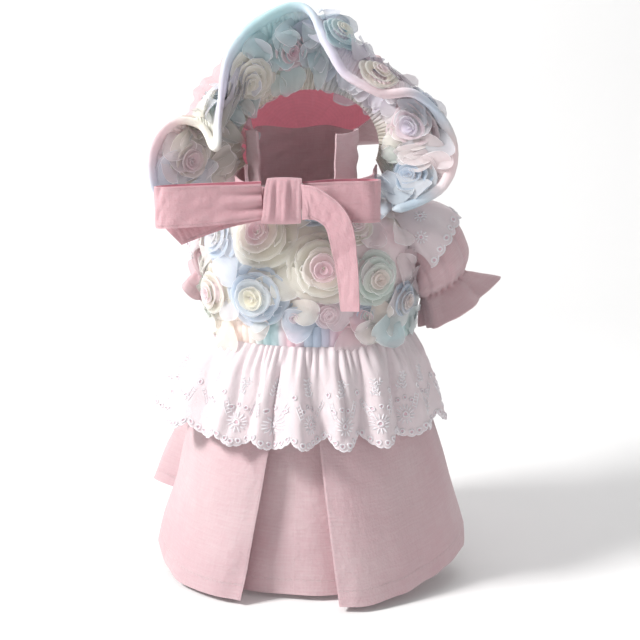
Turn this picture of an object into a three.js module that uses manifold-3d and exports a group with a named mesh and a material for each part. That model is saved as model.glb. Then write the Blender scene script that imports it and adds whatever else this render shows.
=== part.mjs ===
// A small dog's dress with its bonnet, in the form it keeps when it is worn: a rosette bodice with puff
// sleeves, a shirred waist, an eyelet peplum over a pleated linen skirt, and a bonnet that hangs behind the
// neck by its two ties, which meet in a bow on the chest.
// Millimetres. +Z is up and -Y is the front, where the roses are. The origin is the middle of the neck, a
// little above the neck seam. Angles round the body run from the front (0) towards +X (90).

import * as THREE from 'three';
import Module from 'manifold-3d';
import { mergeVertices } from 'three/addons/utils/BufferGeometryUtils.js';

const wasm = await Module();
wasm.setup();

// Cloth and clearances
const linen = 1.4;
const eyelet = 1.2;
const rosetteCloth = 2.0;
const ribbonCloth = 1.2;
const seamGap = 0.3;

// Bodice and collar
const neckDrop = 32;
const neckWidth = 74;
const neckDepth = 70;
const neckShift = -5;
const chestWidth = 144;
const chestDepth = 120;
const bodiceLength = 84;
const collarHeight = 42;
const collarOpening = 86;
const collarWave = 1.2;

// Waist, peplum and skirt
const waistWidth = 140;
const waistDepth = 114;
const waistbandHeight = 14;
const waistbandWall = 5;
const shirrDepth = 1.2;
const peplumLength = 59;
const peplumFlare = 26;
const peplumLean = 5.5;
const peplumFold = 6;
const skirtLength = 168;
const skirtFlare = 45;
const pleatDepth = 19;
const pleatTuck = 4.6;
const skirtFold = 15;

// Sleeves and their eyelet caps
const armholeHeight = 42;
const armholeWidth = 36;
const armholeDrop = 33;
const armholeAngle = 100;
const sleeveReach = 32;
const sleeveDrop = 50;
const puffRadius = 27;
const cuffWave = 3.4;
const capReach = 0.28;
const capSpread = 105;
const capClearance = 1.2;
const capFlute = 1.3;
const capFlutes = 5;
const seamWidth = 1;

// Bonnet: crown, brim and its rolled edge
const hoodTurn = 8;
const ringWidth = 98;
const ringHeight = 38;
const ringSet = 9;
const crownWidth = 172;
const crownRise = 75;
const crownFall = 38;
const crownSlump = 4;
const crownDepth = 48;
const crownSet = 44;
const crownShift = -6;
const napeDrop = 26;
const napeSet = neckDepth / 2 + collarWave * 2 + linen / 2;
const gatherDepth = 1.3;
const brimRadius = 100;
const brimReach = 60;
const brimStandoff = 3;
const edgeRoll = 6.4;

// Bow and ties
const ribbonWidth = 27;
const bowSet = 74;
const bowDrop = 30;
const bowShift = -17;
const knotWidth = 24;
const knotHeight = 29;
const knotDepth = 13;
const tailLength = 84;
const shortTailLength = 62;
const tailWidth = 23;
const tailTaper = 0.42;
const tailTwist = 28;
const tailSlant = 9;
const tailRise = 5;
const tieWidth = 14;
const tieDrop = 2.4;

// Roses
const roseDiameter = 41;
const roseHeight = 12;
const petalScallop = 0.1;
const roseSeat = 0.55;

const rad = THREE.MathUtils.degToRad;
const mix = THREE.MathUtils.lerp;
const smooth = THREE.MathUtils.smoothstep;

// Down the bodice from the neck seam: widths as shares of the chest's beyond the neck's.
const BODICE = [
  { down: 0.0, wide: 0.0 },
  { down: 0.12, wide: 0.42 },
  { down: 0.27, wide: 0.79 },
  { down: 0.46, wide: 0.97 },
  { down: 0.72, wide: 1.0 },
  { down: 1.0, wide: 0.95 },
];

// Round the peplum: ridges (out above 0) and valleys of the gathered lace, and how far its hem is lifted.
const PEPLUM_FRONT = [
  { at: -82, out: 1.5, lift: 0.12 },
  { at: -67, out: -0.5, lift: 0.07 },
  { at: -55, out: 0.9, lift: 0.04 },
  { at: -40, out: -0.8, lift: 0.02 },
  { at: -29, out: 0.8, lift: 0 },
  { at: -20, out: -0.6, lift: 0 },
  { at: -13, out: 0.7, lift: 0 },
  { at: -7, out: -0.4, lift: 0 },
  { at: 3, out: 1.0, lift: 0 },
  { at: 11, out: -1.3, lift: 0.02 },
  { at: 20, out: 0.9, lift: 0 },
  { at: 28, out: -0.8, lift: 0.01 },
  { at: 38, out: 1.0, lift: 0 },
  { at: 51, out: -1.0, lift: 0.02 },
  { at: 62, out: 0.9, lift: 0 },
  { at: 76, out: -0.7, lift: 0.02 },
  { at: 90, out: 0.7, lift: 0 },
];
const backFolds = 10;

// Round the skirt: each row is a rib from waist to hem. at and waist are its angles there, out is its fold
// at the hem, tuck marks the deep layer of the box pleat, and short is the share cut off the length.
const SKIRT = [
  { at: 0, waist: 0, out: -0.05, tuck: 1, short: 0 },
  { at: 12, waist: 5.5, out: 0, tuck: 1, short: 0 },
  { at: 23, waist: 10.5, out: 0, tuck: 1, short: 0 },
  { at: 17.5, waist: 6.5, out: 0.05, tuck: 0, short: 0 },
  { at: 25, waist: 13, out: 0.14, tuck: 0, short: 0 },
  { at: 40, waist: 31, out: 0.02, tuck: 0, short: 0.015 },
  { at: 54, waist: 50, out: -0.05, tuck: 0, short: 0.04 },
  { at: 66, waist: 65, out: 0.2, tuck: 0, short: 0.07 },
  { at: 78, waist: 78, out: 0.4, tuck: 0, short: 0.1 },
  { at: 90, waist: 90, out: 0.36, tuck: 0, short: 0.16 },
  { at: 100, waist: 100, out: -0.5, tuck: 0, short: 0.24 },
  { at: 112, waist: 112, out: 0.35, tuck: 0, short: 0.26 },
  { at: 126, waist: 126, out: -0.45, tuck: 0, short: 0.29 },
  { at: 142, waist: 142, out: 0.3, tuck: 0, short: 0.3 },
  { at: 160, waist: 160, out: -0.35, tuck: 0, short: 0.31 },
  { at: 180, waist: 180, out: 0.2, tuck: 0, short: 0.31 },
  { at: 200, waist: 200, out: -0.35, tuck: 0, short: 0.31 },
  { at: 218, waist: 218, out: 0.3, tuck: 0, short: 0.3 },
  { at: 234, waist: 234, out: -0.4, tuck: 0, short: 0.29 },
  { at: 252, waist: 247, out: 1.8, tuck: 0, short: 0.28 },
  { at: 263, waist: 259, out: 1.9, tuck: 0, short: 0.27 },
  { at: 271, waist: 269, out: -0.4, tuck: 0, short: 0.25 },
  { at: 279, waist: 279, out: 0.02, tuck: 0, short: 0.13 },
  { at: 288, waist: 289, out: 0.1, tuck: 0, short: 0.07 },
  { at: 302, waist: 304, out: -0.05, tuck: 0, short: 0.02 },
  { at: 316, waist: 322, out: 0.04, tuck: 0, short: 0 },
  { at: 335, waist: 347, out: 0.14, tuck: 0, short: 0 },
  { at: 342.5, waist: 353.5, out: 0.05, tuck: 0, short: 0 },
  { at: 337, waist: 349.5, out: 0, tuck: 1, short: 0 },
  { at: 348, waist: 354.5, out: 0, tuck: 1, short: 0 },
];

// Along a sleeve from the armhole: out and down as shares of its reach and drop, turn of the section.
const SLEEVE = [
  { out: 0, down: 0, girth: 0.74, turn: 0 },
  { out: 0.14, down: 0.03, girth: 0.9, turn: 9 },
  { out: 0.42, down: 0.2, girth: 1, turn: 31 },
  { out: 0.56, down: 0.42, girth: 0.95, turn: 46 },
  { out: 0.61, down: 0.57, girth: 0.84, turn: 54 },
  { out: 0.64, down: 0.68, girth: 0.68, turn: 58 },
  { out: 0.75, down: 0.79, girth: 0.78, turn: 58 },
  { out: 1, down: 1, girth: 1.08, turn: 56 },
];
const RIGHT_SLEEVE = { side: 1, reach: 1, back: 0, flat: 1 };
const LEFT_SLEEVE = { side: -1, reach: 0.62, back: 34, flat: 0.66 };
const cuffWaves = 5;

// Along the brim from its left corner over the top to the right one. ring, crest and edge are angles from
// straight up; crestOut and edgeOut are shares of the brim's radius, and the others of its reach forward.
const BRIM = [
  { ring: -122, crest: -114, crestOut: 0.76, crestOn: 0.15, edge: -115, edgeOut: 1.02, edgeOn: 0.55 },
  { ring: -109, crest: -104, crestOut: 0.84, crestOn: 0.32, edge: -103, edgeOut: 1.08, edgeOn: 0.62 },
  { ring: -97, crest: -93, crestOut: 0.82, crestOn: 0.36, edge: -88, edgeOut: 1.04, edgeOn: 0.62 },
  { ring: -86, crest: -83, crestOut: 0.77, crestOn: 0.25, edge: -78, edgeOut: 0.91, edgeOn: 0.6 },
  { ring: -76, crest: -74, crestOut: 0.75, crestOn: 0.1, edge: -79, edgeOut: 0.72, edgeOn: 0.62 },
  { ring: -66, crest: -65, crestOut: 0.71, crestOn: 0.14, edge: -90, edgeOut: 0.6, edgeOn: 0.86 },
  { ring: -55, crest: -53, crestOut: 0.65, crestOn: 0.12, edge: -62, edgeOut: 0.67, edgeOn: 0.6 },
  { ring: -42, crest: -38, crestOut: 0.64, crestOn: 0.22, edge: -39, edgeOut: 0.83, edgeOn: 0.42 },
  { ring: -25, crest: -21, crestOut: 0.66, crestOn: 0.15, edge: -19, edgeOut: 0.92, edgeOn: 0.36 },
  { ring: -8, crest: -2, crestOut: 0.72, crestOn: 0.08, edge: -2, edgeOut: 0.93, edgeOn: 0.38 },
  { ring: 8, crest: 12, crestOut: 0.83, crestOn: 0.14, edge: 9, edgeOut: 0.67, edgeOn: 0.76 },
  { ring: 24, crest: 27, crestOut: 0.71, crestOn: 0.22, edge: 26, edgeOut: 0.52, edgeOn: 0.92 },
  { ring: 41, crest: 43, crestOut: 0.67, crestOn: 0.24, edge: 52, edgeOut: 0.58, edgeOn: 0.92 },
  { ring: 56, crest: 56, crestOut: 0.73, crestOn: 0.26, edge: 62, edgeOut: 0.77, edgeOn: 0.75 },
  { ring: 70, crest: 71, crestOut: 0.74, crestOn: 0.34, edge: 75, edgeOut: 0.89, edgeOn: 0.58 },
  { ring: 83, crest: 86, crestOut: 0.77, crestOn: 0.38, edge: 90, edgeOut: 0.97, edgeOn: 0.57 },
  { ring: 95, crest: 98, crestOut: 0.77, crestOn: 0.38, edge: 103, edgeOut: 0.95, edgeOn: 0.6 },
  { ring: 105, crest: 109, crestOut: 0.71, crestOn: 0.34, edge: 114, edgeOut: 0.84, edgeOn: 0.65 },
  { ring: 114, crest: 119, crestOut: 0.62, crestOn: 0.36, edge: 126, edgeOut: 0.68, edgeOn: 0.76 },
];

// Round the crown's nape edge, from the ring's right side (60) behind the neck to its left corner (238).
const NAPE = [
  { at: 60, out: 0.87, back: 0.2, up: 0.5 },
  { at: 85, out: 0.84, back: 0.66, up: 0.42 },
  { at: 115, out: 0.64, back: 0.94, up: 0.22 },
  { at: 150, out: 0.14, back: 1, up: -0.12 },
  { at: 190, out: -0.45, back: 0.96, up: -0.4 },
  { at: 218, out: -0.88, back: 0.72, up: -0.4 },
  { at: 238, out: -0.936, back: 0.36, up: -0.37 },
];

// Across the brim from the ring (0) to the edge (1): where the wall's rows lie and how much of the rolled
// edge's thickness each has.
const BRIM_ACROSS = [
  { row: 0, across: 0, roll: 0 },
  { row: 1, across: 0.2, roll: 0 },
  { row: 2, across: 0.42, roll: 0 },
  { row: 3, across: 0.66, roll: 0 },
  { row: 4, across: 0.88, roll: 0 },
  { row: 5, across: 0.93, roll: 0.9 },
  { row: 6, across: 1, roll: 1 },
];

// A rose from its heart outwards: radii and heights as shares of its own.
const ROSE = [
  { out: 0, high: 0.72 },
  { out: 0.24, high: 1 },
  { out: 0.46, high: 0.52 },
  { out: 0.7, high: 0.78 },
  { out: 1, high: 0.3 },
  { out: 0, high: 0 },
];
const petals = 5;

// Roses on the bodice: the angle, the share of the bodice's length below the neck seam, and the size.
const BODICE_ROSES = [
  { at: -20, down: 0.29, size: 1 },
  { at: -22, down: 0.77, size: 0.98 },
  { at: 14, down: 0.53, size: 1 },
  { at: -1, down: 0.92, size: 0.42 },
  { at: 17, down: 0.9, size: 0.45 },
  { at: 13, down: 0.13, size: 0.5 },
  { at: 36, down: 0.24, size: 0.66 },
  { at: 43, down: 0.63, size: 0.78 },
  { at: -53, down: 0.36, size: 0.8 },
  { at: -56, down: 0.8, size: 0.84 },
  { at: 38, down: 0.92, size: 0.4 },
  { at: 68, down: 0.85, size: 0.62 },
];

// Roses on the brim: along it, across it from the ring to the edge, the face (1 within, -1 outside).
const BRIM_ROSES = [
  { along: 0.1, across: 0.55, face: 1, size: 0.92 },
  { along: 0.375, across: 0.52, face: 1, size: 0.86 },
  { along: 0.47, across: 0.5, face: 1, size: 0.72 },
  { along: 0.8, across: 0.5, face: 1, size: 0.92 },
  { along: 0.93, across: 0.55, face: 1, size: 0.8 },
  { along: 0.09, across: 0.45, face: -1, size: 0.8 },
  { along: 0.4, across: 0.62, face: -1, size: 0.8 },
  { along: 0.57, across: 0.8, face: -1, size: 0.6 },
  { along: 0.66, across: 0.8, face: -1, size: 0.66 },
  { along: 0.79, across: 0.55, face: -1, size: 0.86 },
  { along: 0.92, across: 0.6, face: -1, size: 0.86 },
];

// Along a tie from its corner of the bonnet (0) to the back of the knot (1): turn is the share of the
// corner's angle left, and shift the share of the knot's own place.
const TIE = [
  { turn: 0.98, out: 0, down: 0, shift: 0.03 },
  { turn: 0.8, out: 0.03, down: 0.25, shift: 0.16 },
  { turn: 0.55, out: 0.4, down: 0.45, shift: 0.2 },
  { turn: 0.25, out: 0.85, down: 0.75, shift: 0.6 },
  { turn: 0.05, out: 1, down: 1, shift: 1 },
];

// Round a bow's loop from the knot and back: out as a share of the loop's length, on as one of its depth
// (above 0 in front) and drop as one of its sag.
const LOOP = [
  { out: 0, on: 0.2, drop: 0 },
  { out: 0.4, on: 0.42, drop: 0.5 },
  { out: 0.9, on: 0.5, drop: 0.9 },
  { out: 1, on: 0, drop: 1 },
  { out: 0.9, on: -0.5, drop: 0.9 },
  { out: 0.4, on: -0.42, drop: 0.5 },
  { out: 0, on: -0.2, drop: 0 },
];
const LEFT_LOOP = { side: -1, length: 69, depth: 10, sag: 4.4 };
const RIGHT_LOOP = { side: 1, length: 50, depth: 13, sag: 0 };

// Along a tail from the knot: out and drop as shares of its length, on as one of its rise over the loop.
const LONG_TAIL = [
  { out: 0, on: 0, drop: 0 },
  { out: 0.07, on: 0.4, drop: 0 },
  { out: 0.25, on: 1, drop: 0.12 },
  { out: 0.33, on: 1, drop: 0.42 },
  { out: 0.37, on: 1, drop: 0.84 },
];
const SHORT_TAIL = [
  { out: 0, on: 0, drop: 0.03 },
  { out: 0.4, on: 0, drop: 0.12 },
  { out: 0.75, on: 0, drop: 0.24 },
  { out: 1, on: 0, drop: 0.34 },
];

const colour = {
  linen: new THREE.MeshStandardMaterial({ color: 0xeec4cc, roughness: 0.9, metalness: 0 }),
  ribbon: new THREE.MeshStandardMaterial({ color: 0xf0bfca, roughness: 0.8, metalness: 0 }),
  lace: new THREE.MeshStandardMaterial({ color: 0xf7f2f4, roughness: 0.9, metalness: 0 }),
  rosette: new THREE.MeshStandardMaterial({ color: 0xf3e6df, roughness: 0.85, metalness: 0 }),
  rose: new THREE.MeshStandardMaterial({ color: 0xf2dcdc, roughness: 0.85, metalness: 0 }),
};

const model = new THREE.Group();
const hood = new THREE.Group();
hood.rotation.z = rad(hoodTurn);
model.add(hood);

function addPiece(group, name, geometry, material) {
  const mesh = new THREE.Mesh(geometry, material);
  mesh.name = name;
  group.add(mesh);
  return mesh;
}

// A column of a table read at any place, as a smooth curve through its rows.
function readTable(rows, key, column, at) {
  const last = rows.length - 2;
  let i = 0;
  while (i < last && at > rows[i + 1][key]) i += 1;
  const slope = (k) => {
    const a = rows[Math.max(k - 1, 0)];
    const b = rows[Math.min(k + 1, last + 1)];
    return (b[column] - a[column]) / (b[key] - a[key]);
  };
  const span = rows[i + 1][key] - rows[i][key];
  const t = THREE.MathUtils.clamp((at - rows[i][key]) / span, 0, 1);
  const bend = span * t * (1 - t) * (slope(i) * (1 - t) - slope(i + 1) * t);
  return mix(rows[i][column], rows[i + 1][column], smooth(t, 0, 1)) + bend;
}

// A wall of cloth: the sheet that place(u, v) describes, with half the thickness on each side and closed
// rims. round joins the last column to the first, and pole draws the last row together into one point.
function clothWall(place, columns, rows, thickness, { round = false, pole = false } = {}) {
  const across = round ? columns : columns + 1;
  const middle = [];
  for (let j = 0; j <= rows; j += 1) {
    for (let i = 0; i < across; i += 1) middle.push(place(i / columns, j / rows));
  }
  const wrap = (i) => (round ? (i + across) % across : THREE.MathUtils.clamp(i, 0, across - 1));
  const point = (i, j) => middle[THREE.MathUtils.clamp(j, 0, rows) * across + wrap(i)];
  const positions = [];
  for (const side of [0.5, -0.5]) {
    for (let j = 0; j <= rows; j += 1) {
      for (let i = 0; i < across; i += 1) {
        const along = point(i + 1, j).clone().sub(point(i - 1, j));
        const down = point(i, j + 1).clone().sub(point(i, j - 1));
        if (pole && j === rows) {
          along.copy(point(1, j - 1)).sub(point(1 + columns / 2, j - 1));
          down.copy(point(1 + columns / 4, j - 1)).sub(point(1 + (columns * 3) / 4, j - 1));
          along.negate();
        }
        const normal = along.cross(down).normalize();
        const full = typeof thickness === 'number' ? thickness : thickness(i / columns, j / rows);
        const p = point(i, j).clone().addScaledVector(normal, side * full);
        positions.push(p.x, p.y, p.z);
      }
    }
  }
  const layer = (rows + 1) * across;
  const front = (i, j) => j * across + (pole && j === rows ? 0 : wrap(i));
  const back = (i, j) => layer + front(i, j);
  const index = [];
  const quad = (a, b, c, d) => {
    for (const [p, q, r] of [[a, b, c], [a, c, d]]) {
      if (p !== q && q !== r && r !== p) index.push(p, q, r);
    }
  };
  for (let j = 0; j < rows; j += 1) {
    for (let i = 0; i < columns; i += 1) {
      quad(front(i, j), front(i + 1, j), front(i + 1, j + 1), front(i, j + 1));
      quad(back(i, j), back(i, j + 1), back(i + 1, j + 1), back(i + 1, j));
    }
  }
  for (let i = 0; i < columns; i += 1) {
    quad(front(i + 1, 0), front(i, 0), back(i, 0), back(i + 1, 0));
    if (!pole) quad(front(i, rows), front(i + 1, rows), back(i + 1, rows), back(i, rows));
  }
  if (!round) {
    for (let j = 0; j < rows; j += 1) {
      quad(front(0, j), front(0, j + 1), back(0, j + 1), back(0, j));
      quad(front(columns, j + 1), front(columns, j), back(columns, j), back(columns, j + 1));
    }
  }
  const geometry = new THREE.BufferGeometry();
  geometry.setAttribute('position', new THREE.Float32BufferAttribute(positions, 3));
  geometry.setIndex(index);
  geometry.computeVertexNormals();
  return geometry;
}

function toSolid(geometry) {
  const bare = geometry.clone();
  bare.deleteAttribute('normal');
  bare.deleteAttribute('uv');
  const merged = mergeVertices(bare, 1e-4);
  return new wasm.Manifold(new wasm.Mesh({
    numProp: 3,
    vertProperties: new Float32Array(merged.attributes.position.array),
    triVerts: new Uint32Array(merged.index.array),
  }));
}

function toGeometry(solid) {
  const mesh = solid.getMesh();
  const geometry = new THREE.BufferGeometry();
  const positions = Array.from(mesh.vertProperties);
  geometry.setAttribute('position', new THREE.Float32BufferAttribute(positions, 3));
  geometry.setIndex(Array.from(mesh.triVerts));
  geometry.computeVertexNormals();
  return geometry;
}

// A point on an ellipse round the body, at an angle from the front.
function around(angle, halfWidth, halfDepth, z) {
  return new THREE.Vector3(halfWidth * Math.sin(rad(angle)), -halfDepth * Math.cos(rad(angle)), z);
}

// Levels that follow from the lengths
const neckLevel = -neckDrop;
const bandTop = neckLevel - bodiceLength - seamGap;
const bandBottom = bandTop - waistbandHeight;
const skirtTop = bandBottom - seamGap * 2;
const armholeLevel = neckLevel - armholeDrop;

// Bodice
function bodicePoint(angle, down) {
  const wide = readTable(BODICE, 'down', 'wide', down);
  const halfWidth = mix(neckWidth, chestWidth, wide) / 2;
  const halfDepth = mix(neckDepth, chestDepth, wide) / 2;
  const point = around(angle, halfWidth, halfDepth, neckLevel - bodiceLength * down);
  point.x += neckShift * (1 - wide);
  return point;
}

function armholeCutter(side) {
  const half = chestWidth / 2;
  const cutter = new THREE.CylinderGeometry(1, 1, half, 20);
  cutter.rotateZ(Math.PI / 2);
  cutter.scale(1, armholeWidth / 2, armholeHeight / 2);
  cutter.translate(half, 0, 0);
  cutter.rotateZ(rad(side * (armholeAngle - 90) + (side < 0 ? 180 : 0)));
  cutter.translate(0, 0, armholeLevel);
  return toSolid(cutter);
}

const bodiceShell = clothWall((u, v) => bodicePoint(360 * u, v), 32, 8, linen, { round: true });
const bodice = [1, -1].reduce((left, side) => left.subtract(armholeCutter(side)), toSolid(bodiceShell));
addPiece(model, 'bodice', toGeometry(bodice), colour.rosette);

// Collar: a stand of linen on the neck seam, open in front where the bow lies
function collarPoint(u, v) {
  const angle = mix(collarOpening / 2, 360 - collarOpening / 2, u);
  const lean = collarWave * v * (1 + Math.cos(rad(angle * 9)));
  const z = neckLevel + linen / 2 + seamGap + (collarHeight + collarWave * Math.sin(rad(angle * 5))) * v;
  const point = around(angle, neckWidth / 2 + lean, neckDepth / 2 + lean, z);
  point.x += neckShift;
  return point;
}
addPiece(model, 'neck_collar', clothWall(collarPoint, 32, 2, linen), colour.linen);

// Waistband: a shirred elastic casing, its ribs standing in and out
const shirrRibs = 26;
function waistbandPoint(u, v) {
  const rib = shirrDepth * (Math.round(u * shirrRibs * 2) % 2 ? 0.5 : -0.5);
  return around(360 * u, waistWidth / 2 + rib, waistDepth / 2 + rib, mix(bandTop, bandBottom, v));
}
const waistband = clothWall(waistbandPoint, shirrRibs * 2, 1, waistbandWall, { round: true });
addPiece(model, 'waistband', waistband, colour.rosette);

// Peplum: gathered eyelet, its folds growing from the waist to the hem
const peplumRows = [...PEPLUM_FRONT];
const lastFold = PEPLUM_FRONT.at(-1).at;
const backStep = (360 + PEPLUM_FRONT[0].at - lastFold) / (2 * backFolds);
for (let k = 1; k < 2 * backFolds; k += 1) {
  peplumRows.push({ at: lastFold + backStep * k, out: k % 2 ? -0.8 : 0.8, lift: k % 2 ? 0.02 : 0 });
}
function peplumPoint(u, v) {
  const row = u * peplumRows.length;
  const from = peplumRows[Math.floor(row) % peplumRows.length];
  const to = peplumRows[(Math.floor(row) + 1) % peplumRows.length];
  const share = row - Math.floor(row);
  const next = to.at < from.at ? to.at + 360 : to.at;
  const angle = mix(from.at, next, share);
  const out = mix(from.out, to.out, smooth(share, 0, 1));
  const length = peplumLength * (1 - mix(from.lift, to.lift, share));
  const lean = peplumLean * Math.sin(rad(angle));
  const flare = (peplumFlare - lean) * v ** 0.8 + peplumFold * out * (0.12 + 0.88 * v);
  const seat = (waistbandWall - eyelet) / 2;
  return around(angle, waistWidth / 2 + seat + flare, waistDepth / 2 + seat + flare, skirtTop - length * v);
}
const peplum = clothWall(peplumPoint, peplumRows.length * 2, 3, eyelet, { round: true });
addPiece(model, 'peplum_lace', peplum, colour.lace);

// Skirt: an A-line with one box pleat in front, long in front and short over the belly
function skirtPoint(u, v) {
  const row = u * SKIRT.length;
  const from = SKIRT[Math.floor(row) % SKIRT.length];
  const to = SKIRT[(Math.floor(row) + 1) % SKIRT.length];
  const share = row - Math.floor(row);
  const turn = (angle, start) => angle + (start - angle > 180 ? 360 : 0);
  const soft = from.tuck === to.tuck ? smooth(share, 0, 1) : share;
  const waist = mix(from.waist, turn(to.waist, from.waist), share);
  const angle = mix(waist, mix(from.at, turn(to.at, from.at), share), v ** 0.8);
  const tuck = mix(from.tuck, to.tuck, share) * mix(pleatTuck, pleatDepth, v);
  const down = v * (1 - mix(from.short, to.short, soft));
  const seat = linen / 2 - waistbandWall / 2 + pleatTuck / 4;
  const out = seat - tuck + skirtFlare * down + skirtFold * down * mix(from.out, to.out, soft);
  return around(angle, waistWidth / 2 + out, waistDepth / 2 + out, skirtTop - skirtLength * down);
}
addPiece(model, 'skirt', clothWall(skirtPoint, SKIRT.length * 2, 4, linen, { round: true }), colour.linen);

// Sleeves: each is one tube, sewn round its armhole, puffed, drawn in at its elastic and flared into a
// ruffle. Their caps of eyelet lie over them.
function sleeveFrame(v, sleeve) {
  const rows = SLEEVE.map((row, i) => ({ ...row, i }));
  const read = (column) => readTable(rows, 'i', column, v * (SLEEVE.length - 1));
  const heading = rad(sleeve.side > 0 ? armholeAngle - 90 : 270 - armholeAngle);
  const outward = new THREE.Vector3(Math.cos(heading), Math.sin(heading), 0);
  const backward = new THREE.Vector3(-Math.sin(heading), Math.cos(heading), 0).multiplyScalar(sleeve.side);
  const start = chestWidth / 2 + linen + seamGap;
  const centre = outward.clone().multiplyScalar(start + sleeveReach * sleeve.reach * read('out'));
  centre.addScaledVector(backward, sleeve.back * read('down'));
  centre.z = armholeLevel - sleeveDrop * read('down');
  const tilt = rad(read('turn')) * sleeve.flat;
  const over = new THREE.Vector3(0, 0, Math.cos(tilt)).addScaledVector(outward, Math.sin(tilt));
  return { centre, over, outward, backward, radius: puffRadius * read('girth') };
}

function armholeSeam(sleeve, turn, lift) {
  const high = (armholeHeight / 2 + seamWidth + lift) * Math.cos(turn);
  const back = (armholeWidth / 2 + seamWidth + lift) * Math.sin(turn);
  const angle = sleeve.side * (armholeAngle + THREE.MathUtils.radToDeg(back / (chestDepth / 2)));
  const point = bodicePoint(angle, (armholeDrop - high) / bodiceLength);
  const { outward } = sleeveFrame(0, sleeve);
  const up = Math.max(0, high / armholeHeight);
  return point.addScaledVector(outward, linen + seamGap).add(new THREE.Vector3(0, 0, up * linen));
}

function sleeveSurface(sleeve, turn, v, lift) {
  const { centre, over, backward, radius } = sleeveFrame(v, sleeve);
  const wave = cuffWave * Math.cos(cuffWaves * turn) * smooth(v, 0.72, 1);
  const flat = mix(1, sleeve.flat, smooth(v, 0, 0.3));
  const point = centre.addScaledVector(over, (radius * flat + wave + lift) * Math.cos(turn));
  point.addScaledVector(backward, (radius + wave + lift) * Math.sin(turn));
  return point.lerp(armholeSeam(sleeve, turn, lift), 1 - smooth(v, 0, 0.2));
}

function addSleeve(name, sleeve) {
  const place = (u, v) => sleeveSurface(sleeve, -2 * Math.PI * u * sleeve.side, v, 0);
  addPiece(model, `sleeve_${name}`, clothWall(place, 20, 9, linen, { round: true }), colour.linen);
  const capPlace = (u, v) => {
    const flute = capFlute * v * (1 + Math.cos(2 * Math.PI * capFlutes * u));
    const lift = (linen + eyelet) / 2 + capClearance + flute;
    return sleeveSurface(sleeve, rad(mix(-capSpread, capSpread, u)) * -sleeve.side, capReach * v, lift);
  };
  addPiece(model, `sleeve_lace_${name}`, clothWall(capPlace, 16, 4, eyelet), colour.lace);
}
addSleeve('right', RIGHT_SLEEVE);
addSleeve('left', LEFT_SLEEVE);

// The bonnet's ring, where crown and brim are sewn together
function ringPoint(angle) {
  const below = -Math.cos(rad(angle));
  const side = Math.sin(rad(angle));
  const square = mix(1, 0.4, smooth(below, 0, 0.5));
  const x = (ringWidth / 2) * Math.sign(side) * Math.abs(side) ** square;
  const height = mix(ringHeight, napeDrop, smooth(below, -0.2, 0.6));
  return new THREE.Vector3(x, mix(ringSet, napeSet, smooth(below, 0.35, 1)), -height * below);
}

// The crown's seam: along the ring over the top, then free as the nape edge behind the neck.
function crownSeam(angle) {
  const turn = ((angle % 360) + 360) % 360;
  if (turn <= NAPE[0].at || turn >= NAPE.at(-1).at) return ringPoint(angle);
  const read = (column) => readTable(NAPE, 'at', column, turn);
  return new THREE.Vector3((ringWidth / 2) * read('out'), napeSet * read('back'), ringHeight * read('up'));
}

// Crown: a soft linen bag gathered into its seam and drawn together at its back. It slumps to the left.
function crownPoint(u, v) {
  const angle = -360 * u;
  const seam = crownSeam(angle);
  const start = -Math.asin(THREE.MathUtils.clamp((crownSet - seam.y) / crownDepth, -0.9, 0.9));
  const belly = mix(start, Math.PI / 2, v);
  const fall = mix(crownFall, crownSlump, smooth(Math.sin(rad(angle)), -0.4, 0.5));
  const tall = Math.cos(rad(angle)) > 0 ? crownRise : fall;
  const side = (crownWidth / 2) * Math.sin(rad(angle)) * Math.cos(belly);
  const high = tall * Math.cos(rad(angle)) * Math.cos(belly);
  const full = new THREE.Vector3(side + crownShift, crownSet + crownDepth * Math.sin(belly), high);
  const gather = gatherDepth * Math.cos(rad(angle * 18)) * smooth(v, 0.02, 0.2) * (1 - smooth(v, 0.5, 1));
  full.multiplyScalar(1 + gather / crownRise);
  return seam.clone().lerp(full, smooth(v, 0, 0.22));
}
addPiece(hood, 'hood_crown', clothWall(crownPoint, 36, 7, linen, { round: true, pole: true }), colour.linen);

// Brim: through the ring, a crest half way and the edge
const polar = (angle, radius, y) =>
  new THREE.Vector3(radius * Math.sin(rad(angle)), y, radius * Math.cos(rad(angle)));
const brimRows = BRIM.map((row, i) => ({ ...row, i }));
function brimPoint(u, v) {
  const read = (column) => readTable(brimRows, 'i', column, u * (BRIM.length - 1));
  const ring = ringPoint(read('ring'));
  ring.y -= brimStandoff;
  const crest = polar(read('crest'), brimRadius * read('crestOut'), -brimReach * read('crestOn'));
  const edge = polar(read('edge'), brimRadius * read('edgeOut'), -brimReach * read('edgeOn'));
  const point = ring.multiplyScalar((1 - v) * (1 - 2 * v));
  return point.addScaledVector(crest, 4 * v * (1 - v)).addScaledVector(edge, v * (2 * v - 1));
}
// The brim's edge is turned over into a soft roll, so its wall is thicker there.
const brimAcross = (v) => readTable(BRIM_ACROSS, 'row', 'across', v * (BRIM_ACROSS.length - 1));
const brimRoll = (v) => BRIM_ACROSS[Math.round(v * (BRIM_ACROSS.length - 1))].roll;
const brimWall = (u, v) => mix(rosetteCloth, edgeRoll, brimRoll(v));
const brimColumns = (BRIM.length - 1) * 2;
const brim = clothWall((u, v) => brimPoint(u, brimAcross(v)), brimColumns, BRIM_ACROSS.length - 1, brimWall);
addPiece(hood, 'hood_brim', brim, colour.rosette);

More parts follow.
